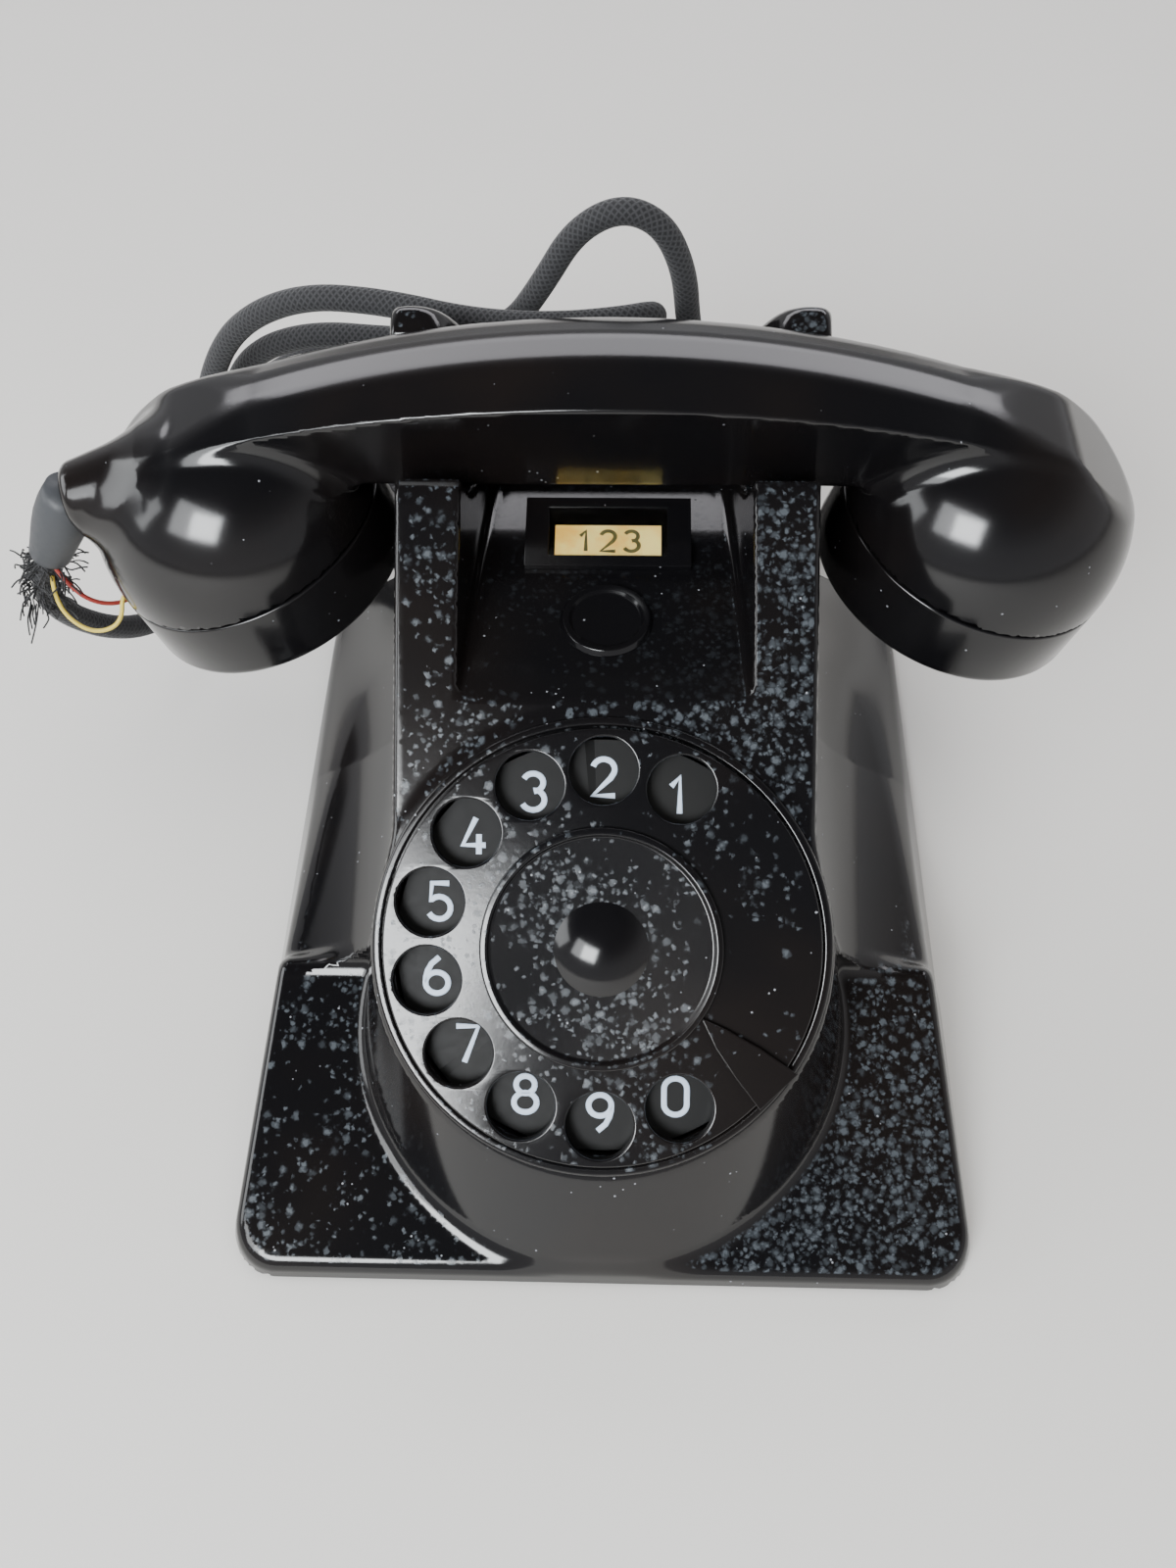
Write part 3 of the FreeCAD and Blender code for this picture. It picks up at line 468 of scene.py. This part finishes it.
def make_cap(name, side, node, material):
    """A turned cap with rings of sound holes in its face."""
    place = cup_frame(side)
    floor = 3.2 - CAP_H
    profile = [(30.9, -0.35), (CUP_R, -0.35, 0.6), (CUP_R, -CAP_H, 3.0)]
    profile += [(20, -CAP_H), (20, floor), (30.9, floor, 0.8)]
    wall = turned(name + "_wall", profile, place, material)
    holes = []
    for count, radius in ((1, 0.0), (6, 7.5), (12, 15.0)):
        for i in range(count):
            a = math.tau * i / count
            holes.append(circle(1.3, radius * math.cos(a), radius * math.sin(a), 16))
    sound = plate(name + "_holes", [circle(20.4)] + holes, 3.1, 0.3,
                  place @ Matrix.Translation((0, 0, -CAP_H)), material)
    dress(joined(name, [wall, sound]), "handset", "handset_bakelite", node)


def make_bush(grey):
    """The grey sleeve that carries the cord out of the mouthpiece end."""
    steps = [-0.15, 0.0, 0.12, 0.3, 0.5, 0.7, 0.85, 0.95, 1.0]
    path = [BOSS_END + BUSH_AXIS * (BUSH_L * t) for t in steps]
    radii = [5.4, 5.9, 6.2, 6.3, 6.0, 5.5, 5.1, 4.9, 4.4]
    piece = tube("mouthpiece_cord_sleeve", path, radii, grey, 40)
    dress(piece, "handset", "grey_rubber", "handset_cord_bush")


# ---- Dial ----

def round_the_dial(angle, radius):
    a = math.radians(angle)
    return radius * math.sin(a), radius * math.cos(a)


def bow(cx, cy, rx, ry, start, end, steps=14):
    """Part of an oval, from one angle to another, as points of a stroke."""
    angles = [math.radians(start + (end - start) * k / steps) for k in range(steps + 1)]
    return [(cx + rx * math.cos(a), cy + ry * math.sin(a)) for a in angles]


def strokes(digit):
    """The strokes of a plain figure in a box from -1 to 1 both ways."""
    six = bow(0, -0.42, 1, 0.58, 180, -180, 28) + [(-0.96, -0.1), (-0.82, 0.24), (-0.5, 0.62), (0.2, 1.0)]
    return {
        "0": [bow(0, 0.42, 1, 0.58, 0, 180) + bow(0, -0.42, 1, 0.58, 180, 360) + [(1, 0.42)]],
        "1": [[(-0.55, 0.48), (0.2, 1.0), (0.2, -1.0)]],
        "2": [bow(0, 0.45, 0.95, 0.55, 165, -25) + [(0.6, -0.05), (-0.95, -1.0), (1.0, -1.0)]],
        "3": [bow(-0.05, 0.5, 0.88, 0.5, 155, -75) + bow(-0.05, -0.44, 1.0, 0.56, 80, -155)],
        "4": [[(0.15, 1.0), (-1.0, -0.5), (1.0, -0.5)], [(0.42, 0.1), (0.42, -1.0)]],
        "5": [[(0.8, 1.0), (-0.7, 1.0), (-0.8, 0.08)] + bow(-0.05, -0.36, 1.0, 0.62, 132, -152)],
        "6": [six],
        "7": [[(-0.95, 1.0), (1.0, 1.0), (-0.2, -1.0)]],
        "8": [bow(0, 0.52, 0.82, 0.48, 0, 360, 28), bow(0, -0.46, 1.0, 0.54, 0, 360, 28)],
        "9": [[(-x, -y) for x, y in six]],
    }[digit]


def figure(text, size, stroke, place, material, name):
    """Raised figures drawn as flattened strokes, centred on their place."""
    half_x, half_y = 0.27 * size, (size - stroke) / 2
    curve = bpy.data.curves.new(name, "CURVE")
    curve.dimensions = "3D"
    curve.bevel_depth = stroke / 2 * MM
    curve.bevel_resolution = 3
    curve.use_fill_caps = True
    for i, digit in enumerate(text):
        shift = (i - (len(text) - 1) / 2) * 0.85 * size
        for line in strokes(digit):
            spline = curve.splines.new("POLY")
            spline.points.add(len(line) - 1)
            for p, (x, y) in zip(spline.points, line):
                p.co = ((shift + half_x * x) * MM, half_y * y * MM, 0, 1)
    shape = bpy.data.objects.new(name, curve)
    mesh = bpy.data.meshes.new_from_object(shape)
    bpy.data.objects.remove(shape)
    flat = place.to_3x3().to_4x4() @ Matrix.Diagonal((1, 1, FLATNESS, 1))
    mesh.transform(Matrix.Translation(place.translation * MM) @ flat)
    return add_object(name, mesh, material)


def make_dial(black, clean, white):
    profile = [(46.9, 0.0), (46.9, 1.9, 0.5), (RING_R, 1.9, 1.0), (RING_R, 0.0)]
    dress(turned("dial_surround", profile, ON_DIAL, black, 192), "case", "dial_bakelite", "dial_ring")
    digits = []
    for i, angle in enumerate(HOLE_ANGLES):
        x, y = round_the_dial(angle, DIGIT_PITCH_R)
        place = ON_DIAL @ Matrix.Translation((x, y, PLATE_Z + PLATE_T + 0.05))
        digits.append(figure(str((i + 1) % 10), DIGIT_H, DIGIT_STROKE, place, white, "digit_%d" % i))
    dress(joined("dial_figures", digits), "case", "numeral_white", "dial_numerals")
    holes = [circle(HOLE_R, *round_the_dial(angle, HOLE_PITCH_R), 64) for angle in HOLE_ANGLES]
    outlines = [circle(WHEEL_R, count=240), circle(3.1)] + holes
    wheel = plate("finger_wheel_pressing", outlines, WHEEL_T, 0.45,
                  ON_DIAL @ Matrix.Translation((0, 0, WHEEL_Z)), black)
    dress(wheel, "dial", "dial_bakelite", "finger_wheel")
    top = WHEEL_Z + WHEEL_T
    level = top + 0.8
    profile = [(CENTRE_R, top - 0.05), (CENTRE_R, top + 1.5, 0.5), (24.2, top + 1.6, 0.6)]
    profile += [(23.6, level, 0.5), (0, level)]
    disc = turned("centre_cover", profile, ON_DIAL, black, 160)
    dress(disc, "dial", "dial_bakelite", "centre_disc")
    ball_r = (DOME_R ** 2 + DOME_H ** 2) / (2 * DOME_H)
    side = math.asin(DOME_R / ball_r)
    angles = [side * (1 - k / 12) for k in range(13)]
    arc = [(ball_r * math.sin(a), level + DOME_H - ball_r + ball_r * math.cos(a)) for a in angles]
    dress(turned("centre_dome", arc, ON_DIAL, clean, 96), "dial", "dial_bakelite", "centre_knob")


def make_finger_stop(black):
    """A thin blade from the rim of the centre cover to the ring, widening outwards."""
    inner, outer = (21.5, -14.2), (41.4, -25.5)
    edge_one = [(21.3, -14.6), (24.2, -20.5), (28.4, -26.6), (33.6, -33.2)]
    edge_two = [outer, (33.5, -20.2), (26.5, -16.4), inner]
    top = WHEEL_Z + WHEEL_T
    blade = plate("finger_stop_blade", [edge_one + edge_two], BLADE_T, 0.3,
                  ON_DIAL @ Matrix.Translation((0, 0, top + 0.5)), black)
    dress(blade, "case", "dial_bakelite", "finger_stop")


# ---- Recess pieces ----

def make_recess_pieces(black, ink, paper_yellow):
    profile = [(0, 0.6), (7.6, 0.6, 0.4), (8.3, 1.2, 0.4), (9.6, 1.4, 0.4), (10.3, 0.2, 0.3)]
    profile += [(10.3, -0.4), (7.8, -0.4), (7.8, -5.5), (0, -5.5)]
    plug = turned("blanking_cap", profile, Matrix.Translation((0, PLUG_Y, RECESS_Z)), black)
    dress(plug, "case", "housing_bakelite", "blanking_plug")
    card = plate("card_slip", [[(-12.2, -6.9), (12.2, -6.9), (12.2, 2.3), (-12.2, 2.3)]], 0.15, 0.03,
                 ON_CARD @ Matrix.Translation((0, 0, -1.42)), paper_yellow)
    # A black sheet behind and round the card: painted shade, standing in for the shadow that fills the
    # window above the card.
    shade_sheet = plate("card_shade_backing", [[(-15, -7.5), (15, -7.5), (15, 7.5), (-15, 7.5)]], 0.2, 0.03,
                 ON_CARD @ Matrix.Translation((0, 0, -1.68)), black)
    dress(joined("number_slip", [card, shade_sheet]), "case", "card_paper", "number_card")
    place = ON_CARD @ Matrix.Translation((0, -2.0, -1.24))
    number = figure("123", 6.4, 0.95, place, ink, "card_figures")
    dress(number, "case", "card_paper")


# ---- Cords ----

def nurbs_points(points):
    """The points of a smooth line that has these control points, in millimetres."""
    curve = bpy.data.curves.new("route", "CURVE")
    curve.dimensions = "3D"
    curve.resolution_u = 10
    spline = curve.splines.new("NURBS")
    spline.points.add(len(points) - 1)
    for p, spot in zip(spline.points, points):
        p.co = (*spot, 1)
    spline.order_u = 3
    spline.use_endpoint_u = True
    shape = bpy.data.objects.new("route", curve)
    mesh = bpy.data.meshes.new_from_object(shape)
    line = [v.co.copy() for v in mesh.vertices]
    bpy.data.objects.remove(shape)
    return line


def coil(centre, start, turns, outer, inner, way, per_turn=18):
    """Turns that wind in on the table, step up and wind out on top of themselves."""
    count = round(turns * per_turn)
    points = []
    for i in range(count + 1):
        t = i / count
        a = math.radians(start) + way * math.tau * turns * t
        r = outer + (inner - outer) * (1 - abs(2 * t - 1))
        up = min(max((t - 0.44) / 0.12, 0), 1)
        z = COIL_LOW + (COIL_HIGH - COIL_LOW) * up * up * (3 - 2 * up)
        r = r / math.cos(math.pi / per_turn)
        points.append((centre[0] + r * math.cos(a), centre[1] + r * math.sin(a), z))
    return points


def tube(name, line, radii, material, sides=20):
    """A round tube along a line, with a map that runs round it and along it in millimetres."""
    line = [Vector(p) for p in line]
    if not hasattr(radii, "__len__"):
        radii = [radii] * len(line)
    last = len(line) - 1
    tangents = [(line[min(i + 1, last)] - line[max(i - 1, 0)]).normalized() for i in range(last + 1)]
    across = tangents[0].orthogonal().normalized()
    points, lengths, run = [], [], 0.0
    for i, (spot, tangent, r) in enumerate(zip(line, tangents, radii)):
        across = (across - tangent * across.dot(tangent)).normalized()
        other = tangent.cross(across)
        run += (spot - line[i - 1]).length if i else 0
        lengths.append(run)
        for k in range(sides):
            a = math.tau * k / sides
            points.append(tuple(spot + r * (math.cos(a) * across + math.sin(a) * other)))
    faces = []
    for i in range(len(line) - 1):
        for k in range(sides):
            j = (k + 1) % sides
            faces.append((i * sides + k, i * sides + j, (i + 1) * sides + j, (i + 1) * sides + k))
    faces += [tuple(range(sides))[::-1], tuple((len(line) - 1) * sides + k for k in range(sides))]
    obj = mesh_object(name, points, faces, material)
    layer = obj.data.uv_layers.new(name="braid")
    for poly in obj.data.polygons:
        ring = [obj.data.loops[n].vertex_index % sides for n in poly.loop_indices]
        wraps = 0 in ring and sides - 1 in ring
        for n, k in zip(poly.loop_indices, ring):
            row = obj.data.loops[n].vertex_index // sides
            layer.data[n].uv = ((sides if wraps and k == 0 else k) / sides, lengths[row])
    return obj


def make_cords(braid):
    line = nurbs_points(HANDSET_LEAD[:-1] + coil(**HANDSET_COIL) + HANDSET_TAIL)
    obj = tube("handset_cord", line, CORD_D / 2, braid)
    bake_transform(obj)
    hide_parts("handset_cord_lead", "handset_cord_coil", "handset_cord_tail")
    line = nurbs_points(LINE_LEAD[:-1] + coil(**LINE_COIL) + LINE_TAIL)
    obj = tube("line_cord", line, CORD_D / 2, braid)
    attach(obj, "case")
    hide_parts("line_cord_lead", "line_cord_coil", "line_cord_tail")


def make_fray(braid, red, yellow):
    """Worn braid standing off the cord below the sleeve, with two of its conductors showing."""
    rng = random.Random(7)
    root = BOSS_END + BUSH_AXIS * BUSH_L
    down = BUSH_AXIS
    one, two = down.orthogonal().normalized(), down.cross(down.orthogonal()).normalized()
    hairs = []
    for i in range(170):
        a = rng.uniform(0, math.tau)
        out = one * math.cos(a) + two * math.sin(a)
        base = root + down * rng.uniform(-1, 16) + out * 2.9
        reach = rng.uniform(1.5, 6.5)
        bend = Vector((rng.uniform(-1, 1), rng.uniform(-1, 1), rng.uniform(-1.3, 0.5)))
        line = [base, base + out * reach * 0.4 + down * 1.5,
                base + out * reach * 0.7 + bend * reach * 0.35,
                base + out * reach * 0.8 + bend * reach * 0.75 + down * 2]
        line = [Vector((max(p.x, -140.5), p.y, p.z)) for p in line]
        hairs.append(tube("hair_%d" % i, nurbs_points(line)[::4], 0.2, braid, 4))
    dress(joined("frayed_braid", hairs), "handset", "cord_braid")
    red_steps = [(1.5, -3, 0), (4, -4.5, -7), (9, -4, -13), (15, 0, -16), (19, 8, -17)]
    yellow_steps = [(0, -3, -4), (-1, -6, -11), (6, -9, -18), (14, -7, -17), (15, -2, -9), (19, 6, -12)]
    wires = (("red_conductor", red, red_steps), ("yellow_conductor", yellow, yellow_steps))
    for name, material, steps in wires:
        line = [root + Vector(step) for step in steps]
        dress(tube(name, nurbs_points(line), 0.55, material, 10), "handset", "cord_braid")


# ---- Materials ----

class Finish:
    """A new material: its Principled shader, and short names for the nodes that feed it."""

    def __init__(self, name):
        self.material = bpy.data.materials.new(name)
        self.material.use_nodes = True
        self.tree = self.material.node_tree
        self.shader = self.tree.nodes["Principled BSDF"]
        self.coords = self.node("TexCoord").outputs["Object"]

    def node(self, kind, **values):
        made = self.tree.nodes.new("ShaderNode" + kind)
        for key, value in values.items():
            if key in made.inputs:
                made.inputs[key].default_value = value
            else:
                setattr(made, key, value)
        return made

    def feed(self, socket, value):
        """Gives a socket a number, a colour or another node's output."""
        if isinstance(value, (int, float)):
            socket.default_value = value
        elif isinstance(value, tuple):
            socket.default_value = (*value, 1)
        else:
            self.tree.links.new(value, socket)

    def set(self, name, value):
        self.feed(self.shader.inputs[name], value)

    def math(self, kind, one, two=0.0):
        made = self.node("Math", operation=kind)
        self.feed(made.inputs[0], one)
        self.feed(made.inputs[1], two)
        return made.outputs[0]

    def plus(self, one, two):
        return self.math("ADD", one, two)

    def times(self, one, two):
        return self.math("MULTIPLY", one, two)

    def rest_of(self, share):
        return self.math("SUBTRACT", 1.0, share)

    def ramp(self, source, low, high):
        """0 below low, 1 above high."""
        made = self.node("MapRange", interpolation_type="SMOOTHSTEP")
        self.feed(made.inputs["Value"], source)
        self.feed(made.inputs["From Min"], low)
        self.feed(made.inputs["From Max"], high)
        return made.outputs["Result"]

    def mix(self, share, one, two):
        """One colour turning into the other."""
        made = self.node("Mix", data_type="RGBA")
        self.feed(made.inputs["Factor"], share)
        self.feed(made.inputs[6], one)
        self.feed(made.inputs[7], two)
        return made.outputs[2]

    def noise(self, scale, detail=2.0, roughness=0.5):
        made = self.node("TexNoise", Scale=scale, Detail=detail, Roughness=roughness)
        self.feed(made.inputs["Vector"], self.coords)
        return made.outputs["Fac"]

    def cells(self, scale, source):
        made = self.node("TexVoronoi", Scale=scale)
        self.feed(made.inputs["Vector"], source)
        return made

    def parts(self, source):
        """The X, Y and Z outputs of a vector."""
        made = self.node("SeparateXYZ")
        self.feed(made.inputs[0], source)
        return made.outputs

    def bump(self, height, strength, distance):
        made = self.node("Bump", Strength=strength, Distance=distance)
        self.feed(made.inputs["Height"], height)
        self.set("Normal", made.outputs["Normal"])


def bloom_spots(finish, bloom, lean):
    """Clusters of round blots on the sloping tops, fewer on level floors; lean favours one side."""
    normal = finish.parts(finish.node("NewGeometry").outputs["Normal"])
    sloping = finish.ramp(normal["Z"], 0.73, 0.79)
    level = finish.ramp(normal["Z"], 0.965, 0.985)
    sloping = finish.times(sloping, finish.rest_of(finish.times(level, 0.85)))
    sideways = finish.math("ABSOLUTE", normal["X"])
    sloping = finish.times(sloping, finish.rest_of(finish.ramp(sideways, 0.22, 0.36)))
    right = finish.ramp(finish.parts(finish.coords)["X"], -0.02, 0.07)
    wander = finish.node("TexNoise", Scale=900.0, Detail=2.0)
    finish.feed(wander.inputs["Vector"], finish.coords)
    moved = finish.node("VectorMath", operation="MULTIPLY_ADD")
    finish.feed(moved.inputs[0], wander.outputs["Color"])
    moved.inputs[1].default_value = (0.0016, 0.0016, 0.0016)
    finish.feed(moved.inputs[2], finish.coords)
    patch = finish.plus(finish.noise(30.0, 3.0, 0.6), finish.times(right, lean))
    room = finish.ramp(patch, 0.34, 0.80)
    spots = 0.0
    for scale, share in ((430.0, 0.9), (760.0, 1.1)):
        cells = finish.cells(scale, moved.outputs[0])
        pick = finish.parts(cells.outputs["Color"])
        chosen = finish.math("LESS_THAN", pick["X"], finish.times(room, share))
        blot = finish.rest_of(finish.ramp(cells.outputs["Distance"], 0.10, 0.58))
        tone = finish.times(finish.plus(pick["Y"], 0.35), blot)
        spots = finish.math("MAXIMUM", spots, finish.times(tone, chosen))
    spots = finish.times(finish.times(spots, sloping), bloom)
    return finish.math("MINIMUM", spots, 1.0)


def lint_specks(finish, lint):
    distance = finish.cells(420.0, finish.coords).outputs["Distance"]
    dots = finish.ramp(finish.times(distance, -1.0), -0.13, -0.07)
    least = 0.66 - 0.08 * lint
    return finish.times(dots, finish.ramp(finish.noise(130.0, 2.0), least, least + 0.03))


def bakelite(name, bloom=0.0, lint=0.3, gloss=0.09, lean=0.0):
    """Black phenolic: glossy, faintly brown, with grey bloom and specks of lint."""
    finish = Finish(name)
    cloud = finish.noise(18.0, 3.0)
    base = finish.mix(finish.ramp(cloud, 0.35, 0.7), (0.0035, 0.0034, 0.0040), (0.0065, 0.0050, 0.0046))
    spots = bloom_spots(finish, bloom, lean)
    dots = lint_specks(finish, lint)
    colour = finish.mix(spots, base, (0.046, 0.054, 0.063))
    finish.set("Base Color", finish.mix(dots, colour, (0.22, 0.23, 0.25)))
    rough = finish.plus(finish.times(spots, 0.2), finish.times(cloud, 0.08))
    rough = finish.plus(rough, gloss - 0.04)
    finish.set("Roughness", finish.plus(rough, finish.times(dots, 0.5)))
    finish.bump(finish.plus(finish.noise(900.0, 2.0), spots), 0.12, 0.00004)
    return finish.material


def plain(name, one, two, roughness, scale=400.0, metallic=0.0, gleam=0.5):
    """A surface of two close colours, with a fine grain in its gloss and relief."""
    finish = Finish(name)
    grain = finish.noise(scale, 4.0, 0.6)
    finish.set("Base Color", finish.mix(finish.noise(scale / 12), one, two))
    finish.set("Roughness", finish.plus(finish.times(grain, 0.2), roughness - 0.1))
    finish.bump(grain, 0.3, 0.00004)
    finish.set("Metallic", metallic)
    finish.set("Specular IOR Level", gleam)
    return finish.material


def braided(name, dark, light):
    """Textile braid: two sets of threads wound round the cord, crossing on the slant."""
    finish = Finish(name)
    uv = finish.parts(finish.node("TexCoord").outputs["UV"])
    turns = finish.times(uv["X"], 10.0)
    along = finish.times(uv["Y"], 0.62)
    waves = [finish.math("SINE", finish.times(finish.math(kind, along, turns), math.tau))
             for kind in ("ADD", "SUBTRACT")]
    weave = finish.ramp(finish.math("MAXIMUM", *waves), -0.2, 1.0)
    fuzz = finish.noise(2400.0, 3.0, 0.7)
    finish.set("Base Color", finish.mix(finish.times(weave, finish.plus(fuzz, 0.25)), dark, light))
    finish.set("Roughness", 0.85)
    finish.set("Sheen Weight", 0.12)
    finish.bump(finish.plus(weave, finish.times(fuzz, 0.5)), 0.6, 0.0002)
    return finish.material


def paper(name):
    """A yellowed card with a painted glow: a little emission stands in for the light it catches behind
    its window.
    """
    finish = Finish(name)
    stain = finish.ramp(finish.noise(60.0, 4.0, 0.6), 0.35, 0.65)
    colour = finish.mix(stain, (0.95, 0.80, 0.30), (0.80, 0.46, 0.05))
    fibre = finish.times(finish.noise(1500.0, 3.0, 0.7), 0.35)
    finish.set("Base Color", finish.mix(fibre, colour, (1.0, 0.90, 0.50)))
    finish.set("Roughness", 0.8)
    # Painted light: the card's own colour glows as emission, though the card is no lamp.
    finish.set("Emission Color", colour)
    finish.set("Emission Strength", 0.45)
    return finish.material


def glass(name):
    finish = Finish(name)
    finish.set("Roughness", finish.times(finish.noise(500.0, 3.0), 0.18))
    finish.set("Base Color", (0.97, 0.95, 0.88))
    finish.set("Transmission Weight", 1.0)
    finish.set("IOR", 1.49)
    return finish.material


def dress(obj, body, slot, *nodes):
    """The piece rides on a body and stands for its CAD nodes; its slot is not used."""
    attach(obj, body)
    if nodes:
        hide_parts(*nodes)
    return obj


def dress_nodes(finishes):
    """Gives every carried-over CAD node the procedural finish of its group."""
    for name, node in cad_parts.items():
        if node.hide_render:
            continue
        material = next((m for m, names in finishes.items() if name in names), finishes["default"])
        node.data.materials.clear()
        node.data.materials.append(material)
        weld = node.modifiers.new("weld", "WELD")
        weld.merge_threshold = 0.00001
        edges = node.modifiers.new("edges", "BEVEL")
        edges.width = 0.0002
        edges.segments = 2
        edges.limit_method = "ANGLE"
        edges.angle_limit = math.radians(40)


# ---- Stage ----

def make_camera():
    data = bpy.data.cameras.new("camera")
    data.sensor_fit = "VERTICAL"
    data.sensor_height = 36.0
    data.sensor_width = 36.0
    data.lens = 32.1
    data.shift_y = -0.004
    camera = bpy.data.objects.new("camera", data)
    bpy.context.scene.collection.objects.link(camera)
    turn = Matrix.Rotation(math.radians(2.81), 4, "Z") @ Matrix.Rotation(math.radians(34.82), 4, "X")
    turn = turn @ Matrix.Rotation(math.radians(-1.65), 4, "Z")
    camera.matrix_world = Matrix.Translation((0.005, -0.188, 0.3262)) @ turn
    bpy.context.scene.camera = camera


def area_light(name, towards, distance, size, power, colour=(1, 1, 1), glossy=True):
    """A rectangular lamp in a direction from the dial, facing it."""
    data = bpy.data.lights.new(name, "AREA")
    data.shape = "RECTANGLE"
    data.size, data.size_y = size
    data.energy = power
    data.color = colour
    lamp = bpy.data.objects.new(name, data)
    bpy.context.scene.collection.objects.link(lamp)
    way = Vector(towards).normalized()
    lamp.location = Vector((0, -0.02, 0.08)) + way * distance
    lamp.rotation_euler = (-way).to_track_quat("-Z", "Y").to_euler()
    lamp.visible_glossy = glossy


def make_stage():
    finish = Finish("pale_floor")
    finish.set("Base Color", finish.mix(finish.noise(6.0, 3.0), (0.60, 0.585, 0.56), (0.66, 0.645, 0.62)))
    finish.set("Roughness", 0.7)
    mesh = bpy.data.meshes.new("floor")
    mesh.from_pydata([(-4, -4, 0), (4, -4, 0), (4, 4, 0), (-4, 4, 0)], [], [(0, 1, 2, 3)])
    add_object("floor", mesh, finish.material)
    area_light("window", (-0.33, -0.72, 0.60), 1.3, (0.5, 0.45), 17.0, (0.95, 0.98, 1.0))
    area_light("window_glow", (-0.43, -0.66, 0.61), 1.34, (0.95, 0.62), 15.0, (0.95, 0.98, 1.0))
    area_light("side_window", (-0.93, 0.05, 0.40), 1.2, (0.9, 0.5), 7.0, (0.95, 0.98, 1.0))
    area_light("back_wall", (0.0, 0.82, 0.57), 1.5, (2.2, 0.5), 15.0, (0.96, 0.95, 1.0))
    area_light("ceiling", (0.25, -0.1, 1.0), 1.6, (1.6, 1.6), 22.0, (1.0, 0.99, 0.97), glossy=False)
    world = bpy.data.worlds.new("studio")
    bpy.context.scene.world = world
    world.use_nodes = True
    tree = world.node_tree
    coords = tree.nodes.new("ShaderNodeTexCoord")
    height = tree.nodes.new("ShaderNodeSeparateXYZ")
    shade = tree.nodes.new("ShaderNodeValToRGB")
    tree.links.new(coords.outputs["Generated"], height.inputs[0])
    tree.links.new(height.outputs["Z"], shade.inputs["Fac"])
    tree.links.new(shade.outputs["Color"], tree.nodes["Background"].inputs["Color"])
    stops = [(0.0, 0.62), (0.35, 0.5), (0.62, 0.16), (0.8, 0.05)]
    while len(shade.color_ramp.elements) < len(stops):
        shade.color_ramp.elements.new(0.5)
    for element, (spot, value) in zip(shade.color_ramp.elements, stops):
        element.position = spot
        element.color = (value, value, value * 1.03, 1)


def main():
    make_camera()
    make_stage()
    housing_black = bakelite("housing_black", bloom=1.0, lint=0.7, gloss=0.12, lean=0.16)
    handset_black = bakelite("handset_black", bloom=0.0, lint=0.35, gloss=0.15)
    dial_black = bakelite("dial_black", bloom=0.8, lint=1.0, gloss=0.12, lean=-0.14)
    enamel = plain("black_enamel", (0.003, 0.003, 0.004), (0.010, 0.010, 0.009), 0.45, 500.0, gleam=0.15)
    white = plain("figure_white", (0.48, 0.58, 0.72), (0.60, 0.70, 0.84), 0.55, 900.0)
    braid = braided("black_braid", (0.005, 0.005, 0.006), (0.032, 0.032, 0.035))
    grey = plain("grey_sleeve", (0.022, 0.024, 0.028), (0.04, 0.043, 0.048), 0.5, 700.0)
    rubber = plain("black_rubber", (0.015, 0.015, 0.015), (0.03, 0.03, 0.03), 0.65, 700.0)
    steel = plain("steel", (0.42, 0.42, 0.43), (0.6, 0.6, 0.6), 0.32, 600.0, 1.0)
    brass = plain("brass", (0.55, 0.38, 0.14), (0.72, 0.52, 0.22), 0.3, 600.0, 1.0)
    copper = plain("enamelled_copper", (0.30, 0.09, 0.03), (0.5, 0.18, 0.07), 0.35, 1200.0, 0.8)
    brown = plain("brown_laminate", (0.09, 0.045, 0.02), (0.14, 0.075, 0.035), 0.5, 500.0)
    tin = plain("capacitor_can", (0.5, 0.5, 0.48), (0.62, 0.62, 0.6), 0.35, 500.0, 0.9)
    ink = plain("olive_ink", (0.10, 0.10, 0.03), (0.16, 0.15, 0.05), 0.8, 900.0)
    red = plain("red_insulation", (0.22, 0.02, 0.015), (0.32, 0.04, 0.03), 0.5, 900.0)
    yellow = plain("yellow_insulation", (0.55, 0.42, 0.05), (0.7, 0.55, 0.1), 0.5, 900.0)
    make_cords(braid)
    make_housing(housing_black)
    make_handset(handset_black)
    make_bush(grey)
    make_fray(braid, red, yellow)
    make_dial(dial_black, handset_black, white)
    make_finger_stop(dial_black)
    make_recess_pieces(handset_black, ink, paper("number_card"))
    dress_nodes({
        "default": steel,
        handset_black: {"card_frame"},
        enamel: {"number_plate", "base_plate"},
        rubber: {"rubber_feet", "line_plug", "handset_cord_gland", "line_cord_gland"},
        glass("window_glass"): {"card_window"},
        brass: {"plug_pins", "bell_gongs", "main_gear", "pulse_gears", "terminal_screws", "dial_bush"},
        copper: {"ringer_coils", "induction_coil"},
        brown: {"terminal_block", "contact_insulator", "switch_insulator", "handset_terminals"},
        tin: {"capacitor", "transmitter_capsule", "receiver_capsule", "spring_barrel"},
    })


main()
